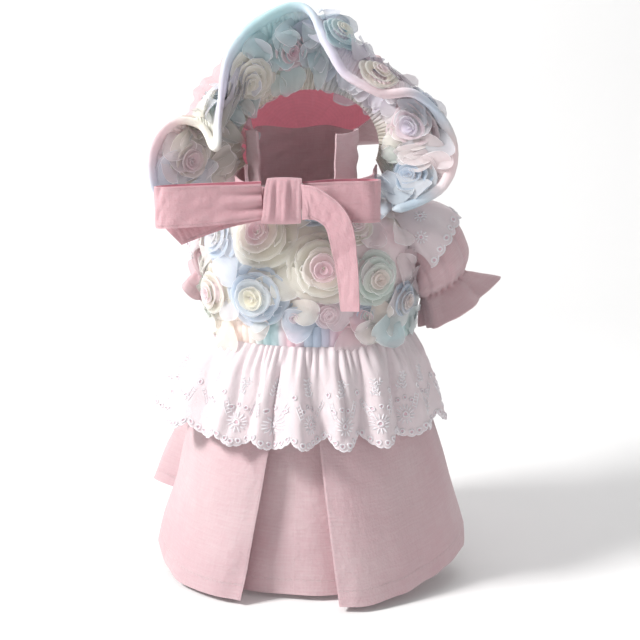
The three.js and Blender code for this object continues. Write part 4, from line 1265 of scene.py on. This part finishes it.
keep(cloth("bodice_chiffon", bodice_visible, 300, 70, LINEN, [body_chiffon], True, dye=body_dye,
           hole_at=armholes), "rosette_cloth", "bodice")
keep(cloth("collar_linen", collar_visible, 160, 28, LINEN, [linen_plain, linen_plain]),
     "linen", "neck_collar")
keep(cloth("waist_shirring", waistband_place, 888, 12, BAND_WALL, [body_chiffon], True, dye=plain_band),
     "rosette_cloth", "waistband")
keep(cloth("peplum_eyelet", peplum_visible, 1000, 32, EYELET, [lawn], True), "eyelet_lace", "peplum_lace")
keep(cloth("skirt_linen", skirt_visible, 540, 54, LINEN, [linen, linen], True, hem=hem_by(SKIRT_LENGTH)),
     "linen", "skirt")
for side_name, sleeve in SLEEVES.items():
    keep(cloth(f"sleeve_{side_name}_linen", sleeve_visible(sleeve), 168, 72, LINEN,
               [linen_plain, lining], True), "linen", f"sleeve_{side_name}")
    keep(cloth(f"sleeve_{side_name}_eyelet", cap_visible(sleeve), 170, 30, EYELET, [lawn]),
         "eyelet_lace", f"sleeve_lace_{side_name}")


# Embroidery, laid on the lace in real sizes

ROUND = np.radians(np.arange(14) * 360 / 14)


def add_eyelet(batch, lay, x, y, hole_radius=1.0, ring_width=1.3):
    """A stitched ring round a hole, through which the cloth behind shows."""
    profile = [(0.0, 0.1), (0.25, 0.75), (0.75, 0.75), (1.0, 0.05)]
    rings = []
    for out, high in profile:
        far = hole_radius + ring_width * out
        rings.append(lay(x + far * np.cos(ROUND), y + far * np.sin(ROUND), np.full(14, high)))
    points = np.concatenate(rings)
    k = np.arange(14)
    faces = np.concatenate([
        np.stack([r * 14 + k, r * 14 + (k + 1) % 14, (r + 1) * 14 + (k + 1) % 14, (r + 1) * 14 + k], axis=1)
        for r in range(len(profile) - 1)
    ])
    uv = np.tile(np.stack([np.arange(14) * 0.6, np.zeros(14)], axis=1), (len(profile), 1))
    batch.add(points, faces, 0, uv)
    disc = lay(x + hole_radius * np.cos(ROUND), y + hole_radius * np.sin(ROUND), np.full(14, 0.12))
    pairs = np.arange(6)
    strips = np.stack([pairs, pairs + 1, 12 - pairs, 13 - pairs], axis=1)
    batch.add(disc, strips, 1)


def add_stitch(batch, lay, x, y, turn, length, width, high=0.7):
    """One raised satin stitch, a long low bump."""
    ends = np.array([-1, -0.7, 0, 0.7, 1])
    full = np.array([0.1, 0.75, 1, 0.75, 0.1])
    across = np.array([-1, 0, 1])
    a, b = np.meshgrid(ends, across)
    wide = np.tile(full, (3, 1)) * b * width / 2
    long = a * length / 2
    c, s = math.cos(math.radians(turn)), math.sin(math.radians(turn))
    height = np.where(b == 0, high * np.tile(full, (3, 1)), 0.02)
    points = lay(x + c * long - s * wide, y + s * long + c * wide, height).reshape(-1, 3)
    i, j = np.meshgrid(np.arange(4), np.arange(2))
    i, j = i.ravel(), j.ravel()
    faces = np.stack([j * 5 + i, j * 5 + i + 1, (j + 1) * 5 + i + 1, (j + 1) * 5 + i], axis=1)
    batch.add(points, faces, 0, np.stack([long, wide], axis=-1).reshape(-1, 2))


def add_daisy(batch, lay, x, y, petals=14, inner=3.0, outer=6.9):
    add_eyelet(batch, lay, x, y, 1.1, 1.2)
    for k in range(petals):
        turn = 360 * k / petals
        middle = (inner + outer) / 2
        add_stitch(batch, lay, x + middle * cos(turn), y + middle * sin(turn), turn, outer - inner, 1.35)


def add_ladder(batch, lay, x, y, turn, rungs=5, pitch=1.9, wide=2.6):
    """A narrow frame of two rails with rungs."""
    c, s = cos(turn), sin(turn)
    length = rungs * pitch
    for side in (-1, 1):
        add_stitch(batch, lay, x - s * side * wide / 2, y + c * side * wide / 2, turn, length + 1, 0.7, 0.5)
    for k in range(rungs):
        far = (k - (rungs - 1) / 2) * pitch
        add_stitch(batch, lay, x + c * far, y + s * far, turn + 90, wide, 0.7, 0.45)


def add_spray(batch, lay, x, y, turn, leaves=5, pitch=2.6):
    """A curved stem with leaves in pairs."""
    for k in range(leaves):
        bend = turn + 7 * k
        x, y = x + pitch * cos(bend), y + pitch * sin(bend)
        add_stitch(batch, lay, x, y, bend, pitch, 0.6, 0.4)
        for side in (-1, 1):
            leaf = bend + side * 48
            add_stitch(batch, lay, x + 1.7 * cos(leaf), y + 1.7 * sin(leaf), leaf, 2.8, 1.3, 0.6)


def add_border(batch, place, count, lengths, u_at, total, v=1.0, radius=0.75):
    """The overcast edge of the lace: a thick thread along v, from length 0 to total."""
    at = np.linspace(0, total, count)
    u = np.interp(at, lengths, u_at)
    line = place(u, np.full(count, v))
    tangent = unit(np.gradient(line, axis=0))
    out = unit(line * [1, 1, 0])
    side = unit(np.cross(tangent, out))
    turns = np.radians([0, 60, 120, 180, 240, 300])
    swell = 1 + 0.12 * np.sin(at * 5)
    rings = np.stack([
        line + (out * math.cos(t) + side * math.sin(t)) * radius * swell[:, None] for t in turns
    ], axis=1)
    i, k = np.meshgrid(np.arange(count - 1), np.arange(6))
    i, k = i.ravel(), k.ravel()
    kn = (k + 1) % 6
    faces = np.stack([i * 6 + k, i * 6 + kn, (i + 1) * 6 + kn, (i + 1) * 6 + k], axis=1)
    uv = np.stack([np.repeat(at, 6), np.tile(np.arange(6), count)], axis=1)
    batch.add(rings.reshape(-1, 3), faces, 0, uv)


def peplum_lay(length, above):
    """Lays things on the peplum's outside at a length along its hem and a height above its edge."""
    u = np.interp(length % HEM_AT[-1], HEM_AT, HEM_U)
    v = 1 - above / PEPLUM_LENGTH
    return lifted(draped(past_ends(peplum_visible, True), u, v, PEPLUM_FACE), EYELET / 2)


def outer_face(place, u, v):
    """1 if along times down points away from the body's axis there, and -1 if it points towards it."""
    step = 0.002
    point = place(np.array(u), np.array(v))
    along = place(np.array(u + step), np.array(v)) - point
    down = place(np.array(u), np.array(v + step)) - point
    return 1 if float(np.cross(along, down) @ (point * [1, 1, 0])) > 0 else -1


PEPLUM_FACE = outer_face(peplum_place, 0.1, 0.5)


def embroider_peplum():
    batch = Batch()
    for k in range(SCALLOPS):
        start = k * SCALLOP
        for j in range(SCALLETS):
            at = start + (j + 0.5) * SCALLOP / SCALLETS
            add_eyelet(batch, peplum_lay(at, 2.6), 0, 0, 0.85, 1.15)
        lay = peplum_lay(start + SCALLOP / 2, 13)
        add_daisy(batch, lay, 0, 0)
        for x, y in ((-5.4, 9.5), (0, 11.5), (5.4, 9.5)):
            add_eyelet(batch, lay, x, y, 0.8, 1.0)
        lay = peplum_lay(start, 22)
        add_ladder(batch, lay, -5.5, -1, 58)
        add_ladder(batch, lay, 5.5, -1, 122)
        add_eyelet(batch, lay, 0, 7, 0.8, 1.0)
        add_spray(batch, peplum_lay(start + SCALLOP * 0.62, 27), 0, 0, 62)
        add_spray(batch, peplum_lay(start + SCALLOP * 0.38, 27), 0, 0, 104)
    add_border(batch, peplum_visible, 2000, HEM_AT, HEM_U, HEM_AT[-1])
    return batch.build("peplum_embroidery", [satin, hole])


def embroider_cap(side_name, sleeve):
    place = cap_visible(sleeve)
    face = outer_face(place, 0.5, 0.5)
    u, lengths = hem_lengths(place, 1, 800)
    batch = Batch()
    for k in range(CAP_SCALLOPS):
        at = (k + 0.5) / CAP_SCALLOPS
        add_eyelet(batch, lifted(draped(past_ends(place), at, 0.9, face), EYELET / 2), 0, 0)
        if k % 2:
            lay = lifted(draped(past_ends(place), at, 0.5, face), EYELET / 2)
            add_daisy(batch, lay, 0, 0, 10, 2.4, 4.8)
    add_border(batch, place, 420, lengths, u, lengths[-1], 1.0, 0.8)
    return batch.build(f"sleeve_{side_name}_embroidery", [satin, hole])


keep(embroider_peplum(), "eyelet_lace")
for side_name, sleeve in SLEEVES.items():
    keep(embroider_cap(side_name, sleeve), "eyelet_lace")


# Bonnet

def brim_visible(u, v):
    point = brim_place(u, v)
    far = past_ends(brim_place)
    normal = unit(np.cross(far(u + 0.004, v) - far(u - 0.004, v), far(u, v + 0.01) - far(u, v - 0.01)))
    folds = 0.7 * np.sin(TAU * 70 * u) * (1 - smooth(v, 0.1, 0.35))
    puffs = 1.8 * ripple(31, u, v, 12) + 0.8 * ripple(33, u, v, 26)
    folds = folds + puffs * smooth(v, 0.15, 0.5) * (1 - smooth(v, 0.85, 1))
    return point + normal * folds[..., None]


BRIM_REACHED = 0.955
ROLL_AT = 0.965


def brim_cloth_place(u, v):
    return brim_visible(u, v * BRIM_REACHED)


def brim_roll_place(u, v):
    """The rolled edge: a puffed tube along the brim's edge. v goes round it."""
    u, v = grids(u, v)
    far = past_ends(brim_place)
    at_roll = np.full(u.shape, ROLL_AT)
    middle = far(u, at_roll)
    tangent = unit(far(u + 0.003, at_roll) - far(u - 0.003, at_roll))
    across = far(u, np.full(u.shape, 0.99)) - far(u, np.full(u.shape, 0.93))
    across = unit(across - tangent * (across * tangent).sum(-1, keepdims=True))
    third = np.cross(tangent, across)
    puff = 1 + 0.014 * np.sin(TAU * 71 * u + 2.5 * np.sin(TAU * v) + 4 * ripple(39, u, v * 0, 6))
    puff = puff + 0.13 * ripple(37, u, v * 0.3, 8)
    ends = np.sqrt(np.clip(np.minimum(u, 1 - u) / 0.012, 0.02, 1))
    radius = (EDGE_ROLL / 2 * puff * ends)[..., None]
    turn = TAU * v[..., None]
    return middle + (across * np.cos(turn) * 1.25 + third * np.sin(turn) * 0.8) * radius


def roll_dye(u, v):
    return brim_dye(u, np.full_like(v, 0.85))


def crown_visible(u, v):
    point = crown_place(u, v)
    middle = np.array([0, CROWN_SET, 10.0])
    away = unit(point - middle)
    soft = 0.8 * ripple(41, u, v * 0.7, 5) * smooth(v, 0.15, 0.5) * (1 - smooth(v, 0.85, 1))
    return point + away * soft[..., None]


keep(cloth("bonnet_crown_linen", crown_visible, 414, 66, LINEN, [linen_plain, lining], True, True),
     "linen", "hood_crown")
keep(cloth("bonnet_brim_chiffon", brim_cloth_place, 460, 40, BRIM_WALL, [brim_chiffon], dye=brim_dye),
     "rosette_cloth", "hood_brim")


TUBE_GIRTH = 20


def tube(name, place, columns, rows, materials, dye):
    """A closed tube: u along it, v round it, with its ends drawn shut."""
    u, v = np.meshgrid(np.linspace(0, 1, columns), np.arange(rows) / rows)
    points = place(u, v)
    i, j = np.meshgrid(np.arange(columns - 1), np.arange(rows))
    i, j = i.ravel(), j.ravel()
    jn = (j + 1) % rows
    first, beside = j * columns + i, jn * columns + i
    faces = np.stack([first, first + 1, beside + 1, beside], axis=1).tolist()
    faces += [[r * columns for r in range(rows)], [r * columns + columns - 1 for r in reversed(range(rows))]]
    along = arc_lengths(points)[0]
    uv = np.stack(np.broadcast_arrays(along[None, :], v * TUBE_GIRTH), axis=-1).reshape(-1, 2)
    return add_object(name, points.reshape(-1, 3), faces, materials, uv=uv, dye=dye(u, v).reshape(-1, 3),
                      edge=np.zeros(columns * rows), sharp=False)


keep(tube("bonnet_edge_roll", brim_roll_place, 720, 16, [body_chiffon], roll_dye), "rosette_cloth")


# Bow and ties

def along_normal(place, offset):
    """place with offset(u, v) millimetres added along its own normal."""
    def moved(u, v):
        u, v = grids(u, v)
        step = 0.004
        cu, cv = np.clip(u, step, 1 - step), np.clip(v, step, 1 - step)
        along = place(cu + step, cv) - place(cu - step, cv)
        across = place(cu, cv + step) - place(cu, cv - step)
        return place(u, v) + unit(np.cross(along, across)) * offset(u, v)[..., None]
    return moved


def loop_folds(seed, deep):
    def offset(u, v):
        tight = np.exp(-(np.minimum(u, 1 - u) / 0.13) ** 2)
        pleats = deep * np.cos(TAU * (2.4 * v + 0.2)) * tight
        return pleats + 0.4 * ripple(seed, u, v * 0.5, 4) * (1 - tight)
    return offset


def soft_folds(seed, deep):
    return lambda u, v: deep * ripple(seed, u, v * 0.5, 5) * smooth(u, 0, 0.2)


def knot_place(u, v):
    """The ribbon once round the bow's middle. u goes round it and v across the ribbon."""
    turn = TAU * u
    front = np.maximum(-np.cos(turn), 0)
    edge = 1 - 0.2 * np.abs(2 * v - 1) ** 3
    folds = 0.7 * np.sin(TAU * 2.3 * v + 0.6 * np.sin(turn)) + 0.35 * np.sin(TAU * 5.1 * v + 1.7)

    def squared(wave):
        return np.sign(wave) * np.abs(wave) ** 0.6

    y = KNOT_DEPTH / 2 * squared(np.cos(turn)) * edge - folds * front
    z = KNOT_HEIGHT / 2 * squared(np.sin(turn)) * (1 - 0.04 * np.abs(2 * v - 1) ** 2)
    lean = 1.2 * np.sin(turn)
    x = KNOT_X + (v - 0.5) * KNOT_WIDTH * (1 - 0.08 * np.sin(turn)) + lean
    return turned(xyz(x, KNOT_Y + y, KNOT_Z + z))


def pinched(u):
    """The share of its width that a loop keeps where the knot gathers it, at both its ends."""
    return 1 - 0.16 * np.exp(-(u / 0.16) ** 2) - 0.1 * np.exp(-((1 - u) / 0.1) ** 2)


left_loop = ribbon_place(loop_points(KNOT_LEFT, LEFT_LOOP), RIBBON_WIDTH, taper=pinched)
right_loop = ribbon_place(loop_points(KNOT_RIGHT, RIGHT_LOOP), RIBBON_WIDTH, taper=pinched)
tail_front = KNOT_Y - RIGHT_LOOP["depth"] / 2 + SEAM_GAP * 2
tail_behind = KNOT_Y + 1 + LEFT_LOOP["depth"] / 2 + RIBBON + SEAM_GAP * 5
long_tail = ribbon_place(
    tail_points(LONG_TAIL, KNOT_RIGHT, TAIL_LENGTH, tail_front, TAIL_RISE), TAIL_WIDTH,
    twist=lambda u: TAIL_TWIST * u, taper=lambda u: 1 - TAIL_TAPER * u)
short_tail = ribbon_place(
    tail_points(SHORT_TAIL, KNOT_LEFT, -SHORT_TAIL_LENGTH, tail_behind, 0), TAIL_WIDTH,
    slant=lambda u: TAIL_SLANT * u)
BOW = [  # side, part, place, folds, columns, width
    ("left", "loop", left_loop, loop_folds(61, 1.5), 150, RIBBON_WIDTH),
    ("right", "loop", right_loop, loop_folds(67, 1.3), 150, RIBBON_WIDTH),
    ("left", "tail", short_tail, soft_folds(71, 0.4), 70, TAIL_WIDTH),
    ("right", "tail", long_tail, soft_folds(73, 0.25), 110, TAIL_WIDTH),
]
for side_name, part, place, folds, columns, width in BOW:
    # A loop's inside gets the deeper pink of painted shade.
    sides = [bow_linen, bow_shaded_inside] if part == "loop" else [bow_linen]
    keep(cloth(f"bow_{side_name}_{part}_linen", along_normal(place, folds), columns, 22, RIBBON, sides,
               hem=ribbon_borders(width)), "ribbon", f"bow_{part}_{side_name}")
# The knot's inside gets the deeper pink of painted shade.
keep(cloth("bow_knot_linen", knot_place, 90, 26, RIBBON, [bow_linen, bow_shaded_inside], True,
           hem=ribbon_borders(KNOT_WIDTH)), "ribbon", "bow_knot")
for side_name, end, side in (("left", 0.0, -1), ("right", 1.0, 1)):
    corner = brim_bare(np.array(end), np.array(0.0))
    place = ribbon_place(tie_points(corner, side), TIE_WIDTH)
    keep(cloth(f"neck_tie_{side_name}_linen", place, 90, 12, RIBBON, [bow_linen],
               hem=ribbon_borders(TIE_WIDTH)), "ribbon", f"neck_tie_{side_name}")


# Roses on the bodice and the brim, where the solids are

BODICE_ROSES = [  # at, down, size, heart, outer petals
    (-20, 0.29, 1.0, "pink", "cream"), (-22, 0.77, 0.98, "butter", "sky"), (14, 0.53, 1.0, "pink", "cream"),
    (-1, 0.92, 0.42, "blush", "sky"), (17, 0.9, 0.45, "blush", "blush"), (13, 0.13, 0.5, "cream", "sky"),
    (36, 0.24, 0.66, "blush", "cream"), (43, 0.63, 0.78, "peach", "mint"), (-53, 0.36, 0.8, "white", "sky"),
    (-56, 0.8, 0.84, "blush", "cream"), (38, 0.92, 0.4, "mint", "sky"), (68, 0.85, 0.62, "peach", "sky"),
]
BRIM_ROSES = [  # along, across, face, size, heart, outer petals
    (0.1, 0.55, 1, 0.92, "blush", "cream"), (0.375, 0.52, 1, 0.86, "cream", "cream"),
    (0.47, 0.5, 1, 0.72, "pink", "blush"), (0.8, 0.5, 1, 0.92, "lilac", "blush"),
    (0.93, 0.55, 1, 0.8, "sky", "blue"), (0.09, 0.45, -1, 0.8, "blush", "cream"),
    (0.4, 0.62, -1, 0.8, "cream", "mint"), (0.57, 0.8, -1, 0.6, "cream", "teal"),
    (0.66, 0.8, -1, 0.66, "blush", "cream"), (0.79, 0.55, -1, 0.86, "cream", "sky"),
    (0.92, 0.6, -1, 0.86, "blush", "teal"),
]

BRIM_SEEDS = 100
BODY_FACE = outer_face(bodice_place, 0.05, 0.5)


def keep_rose(node, lay, size, heart, outer, seed):
    batch = Batch()
    add_rose(batch, lay, ROSE_RADIUS * size, ROSE_HEIGHT * size, (TONES[heart], TONES[outer]), seed)
    keep(batch.build(f"{node}_petals", [petal_chiffon]), "chiffon_rose", node)


for number, (at, down, size, heart, outer) in enumerate(BODICE_ROSES, 1):
    lay = lifted(draped(past_ends(bodice_place, True), at / 360, down, BODY_FACE), LINEN / 2)
    keep_rose(f"rose_bodice_{number:02d}", lay, size, heart, outer, number)
for number, (along, across, face, size, heart, outer) in enumerate(BRIM_ROSES, 1):
    lay = lifted(draped(past_ends(brim_place), along, across, face), PETAL_STANDOFF)
    keep_rose(f"rose_brim_{number:02d}", lay, size, heart, outer, BRIM_SEEDS + number)


# Loose petals between the roses

# No loose petal lies on the brim's corner past here, where the right tie starts
TIE_CORNER_ALONG = 0.93
TIE_CORNER_ACROSS = 0.55
BODICE_PETAL_ROWS = (0.12, 0.3, 0.48, 0.66, 0.84, 0.97)
PETALS_ROUND = 26


def near_rose(spot, centres, clear):
    return any(np.linalg.norm(spot - centre) < clear * radius for centre, radius in centres)


def scatter_brim(name, face, rows, pitch, seed):
    draw = np.random.default_rng(seed)
    batch = Batch()
    far = past_ends(brim_place)
    spots = [(brim_place(np.array(a), np.array(b)), ROSE_RADIUS * size)
             for a, b, side, size, _, _ in BRIM_ROSES if side == face]
    for across in rows:
        line = brim_place(np.linspace(0, 1, 400), np.full(400, across))
        length = np.linalg.norm(np.diff(line, axis=0), axis=1).sum()
        count = int(length / pitch)
        for k in range(count):
            u = (k + 0.5 + draw.uniform(-0.3, 0.3)) / count
            v = across + draw.uniform(-0.06, 0.06)
            turn = draw.uniform(-75, 75) * smooth(across, 0.2, 0.5)
            size = draw.uniform(15, 24)
            wide, lift = size * draw.uniform(0.95, 1.35), draw.uniform(3, 8)
            number = int(draw.integers(1 << 30))
            share = draw.uniform(0, 0.35)
            if near_rose(brim_place(np.array(u), np.array(v)), spots, 0.78):
                continue
            if u > TIE_CORNER_ALONG and v < TIE_CORNER_ACROSS:
                continue
            base = brim_dye(np.array(u + draw.uniform(-0.03, 0.03)), np.array(v))
            colour = mix(base, TONES["white"], share)
            lay = lifted(draped(far, u, v, face, turn), PETAL_STANDOFF)
            add_loose_petal(batch, lay, size, wide, lift, colour, number)
    return batch.build(name, [petal_chiffon])


def scatter_bodice(name, seed):
    draw = np.random.default_rng(seed)
    batch = Batch()
    far = past_ends(bodice_place, True)
    spots = [(bodice_place(np.array(at / 360 % 1), np.array(down)), ROSE_RADIUS * size)
             for at, down, size, _, _ in BODICE_ROSES]
    for down in BODICE_PETAL_ROWS:
        stagger = 0.5 if round(down * 10) % 2 else 0
        for k in range(PETALS_ROUND):
            u = (k + stagger + draw.uniform(-0.3, 0.3)) / PETALS_ROUND
            v = down + draw.uniform(-0.05, 0.05)
            turn = 180 + draw.uniform(-80, 80)
            size = draw.uniform(16, 25)
            wide, lift = size * draw.uniform(0.9, 1.25), draw.uniform(2, 6)
            number = int(draw.integers(1 << 30))
            share = draw.uniform(0, 0.3)
            if near_rose(bodice_place(np.array(u % 1), np.array(v)), spots, 0.8):
                continue
            if armholes(np.array([u % 1]), np.array([v]))[0]:
                continue
            base = body_dye(np.array((u + draw.uniform(-0.015, 0.015)) % 1), np.array(v))
            colour = mix(base, TONES["white"], share)
            lay = lifted(draped(far, u, v, BODY_FACE, turn), LINEN / 2)
            add_loose_petal(batch, lay, size, wide, lift, colour, number)
    return batch.build(name, [petal_chiffon])


keep(scatter_brim("bonnet_petals_inner", 1, (0.34, 0.48, 0.62, 0.74, 0.86), 9, 5), "chiffon_rose")
keep(scatter_brim("bonnet_petals_outer", -1, (0.3, 0.5, 0.66, 0.8), 13, 9), "chiffon_rose")
keep(scatter_bodice("bodice_petals", 13), "chiffon_rose")


# The cloth's cut sizes

def named(*starts):
    return [piece for name, piece in pieces.items() if name.startswith(starts)]


SHEETS = [  # piece, how it is held, what it hangs from or lies on, and what is sewn to it
    ("bodice_chiffon", "hung", ["collar_linen"], named("rose_bodice", "bodice_petals")),
    ("collar_linen", "folded", ["bodice_chiffon"], []),
    ("waist_shirring", "gathered", ["bodice_chiffon"], []),
    ("peplum_eyelet", "gathered", ["waist_shirring"], named("peplum_embroidery")),
    ("skirt_linen", "folded", ["waist_shirring"], []),
    ("sleeve_right_linen", "gathered", ["bodice_chiffon"], []),
    ("sleeve_left_linen", "gathered", ["bodice_chiffon"], []),
    ("sleeve_right_eyelet", "gathered", ["sleeve_right_linen"], named("sleeve_right_embroidery")),
    ("sleeve_left_eyelet", "gathered", ["sleeve_left_linen"], named("sleeve_left_embroidery")),
    ("bonnet_crown_linen", "gathered", ["bonnet_brim_chiffon"], []),
    ("bonnet_brim_chiffon", "gathered", ["neck_tie_left_linen", "neck_tie_right_linen"],
     named("rose_brim", "bonnet_petals", "bonnet_edge")),
    ("bow_left_loop_linen", "folded", ["bow_knot_linen"], []),
    ("bow_right_loop_linen", "folded", ["bow_knot_linen"], []),
    ("bow_left_tail_linen", "hung", ["bow_knot_linen"], []),
    ("bow_right_tail_linen", "hung", ["bow_knot_linen"], []),
    ("bow_knot_linen", "folded", ["bow_left_loop_linen", "bow_right_loop_linen"], []),
    ("neck_tie_left_linen", "hung", ["bow_knot_linen"], []),
    ("neck_tie_right_linen", "hung", ["bow_knot_linen"], []),
]
for name, held, rests_on, sewn in SHEETS:
    width, length, area = pieces[name]["flat"]
    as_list(rests_on)
    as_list(sewn)


# Stage, light and camera

FLOOR_NEAR = -2.4
FLOOR_HALF_WIDTH = 3
FLOOR_GAP = 0.004
WALL_AT = 0.9
WALL_HIGH = 2.4
SWEEP_RADIUS = 0.35
SWEEP_STEPS = 12


def add_stage():
    """A sheet of paper under the dress that curves up behind it."""
    low = cad_box[0][2] - FLOOR_GAP
    profile = [(FLOOR_NEAR, low)]
    for k in range(SWEEP_STEPS + 1):
        turn = math.radians(90 * k / SWEEP_STEPS)
        profile.append((WALL_AT + SWEEP_RADIUS * math.sin(turn), low + SWEEP_RADIUS * (1 - math.cos(turn))))
    profile.append((WALL_AT + SWEEP_RADIUS, WALL_HIGH))
    points = [(x, y, z) for y, z in profile for x in (-FLOOR_HALF_WIDTH, FLOOR_HALF_WIDTH)]
    faces = [(2 * i, 2 * i + 1, 2 * i + 3, 2 * i + 2) for i in range(len(profile) - 1)]
    mesh = bpy.data.meshes.new("sweep")
    mesh.from_pydata(points, [], faces)
    mesh.polygons.foreach_set("use_smooth", [True] * len(faces))
    paper = Nodes("paper", 0.9, Base_Color=(0.93, 0.93, 0.93, 1))
    mesh.materials.append(paper.material)
    floor = bpy.data.objects.new("floor", mesh)
    bpy.context.scene.collection.objects.link(floor)


def area_light(name, place, size, power, colour):
    lamp = bpy.data.lights.new(name, "AREA")
    lamp.size, lamp.energy, lamp.color = size, power, colour
    holder = bpy.data.objects.new(name, lamp)
    bpy.context.scene.collection.objects.link(holder)
    holder.location = place
    holder.rotation_euler = (Vector(LIGHT_AIM) - Vector(place)).to_track_quat("-Z", "Y").to_euler()


LIGHT_AIM = (0.0, 0.0, -0.1)
LIGHTS = [  # name, place, size, power, colour
    ("key", (-1.15, -0.62, 0.85), 0.35, 30, (1.0, 0.99, 0.98)),
    ("fill", (1.2, -1.3, 0.4), 1.4, 2.5, (0.96, 0.97, 1.0)),
    ("back", (0.2, 0.75, 1.5), 1.2, 8, (1, 1, 1)),
]
WORLD_STRENGTH = 0.39
CAMERA_PLACE = (0.1322, -0.8903, 0.070)
CAMERA_LOOK = (-0.1360, 0.9679, -0.2113)

add_stage()
for light in LIGHTS:
    area_light(*light)
world = bpy.data.worlds.new("world")
world.use_nodes = True
world.node_tree.nodes["Background"].inputs[0].default_value = (1, 1, 1, 1)
world.node_tree.nodes["Background"].inputs[1].default_value = WORLD_STRENGTH
bpy.context.scene.world = world

camera = bpy.data.cameras.new("camera")
camera.lens = 72.3
camera.sensor_width = 36
holder = bpy.data.objects.new("camera", camera)
bpy.context.scene.collection.objects.link(holder)
holder.location = CAMERA_PLACE
holder.rotation_mode = "QUATERNION"
holder.rotation_quaternion = Vector(CAMERA_LOOK).to_track_quat("-Z", "Y")
bpy.context.scene.camera = holder
bpy.context.scene.view_settings.view_transform = "Standard"
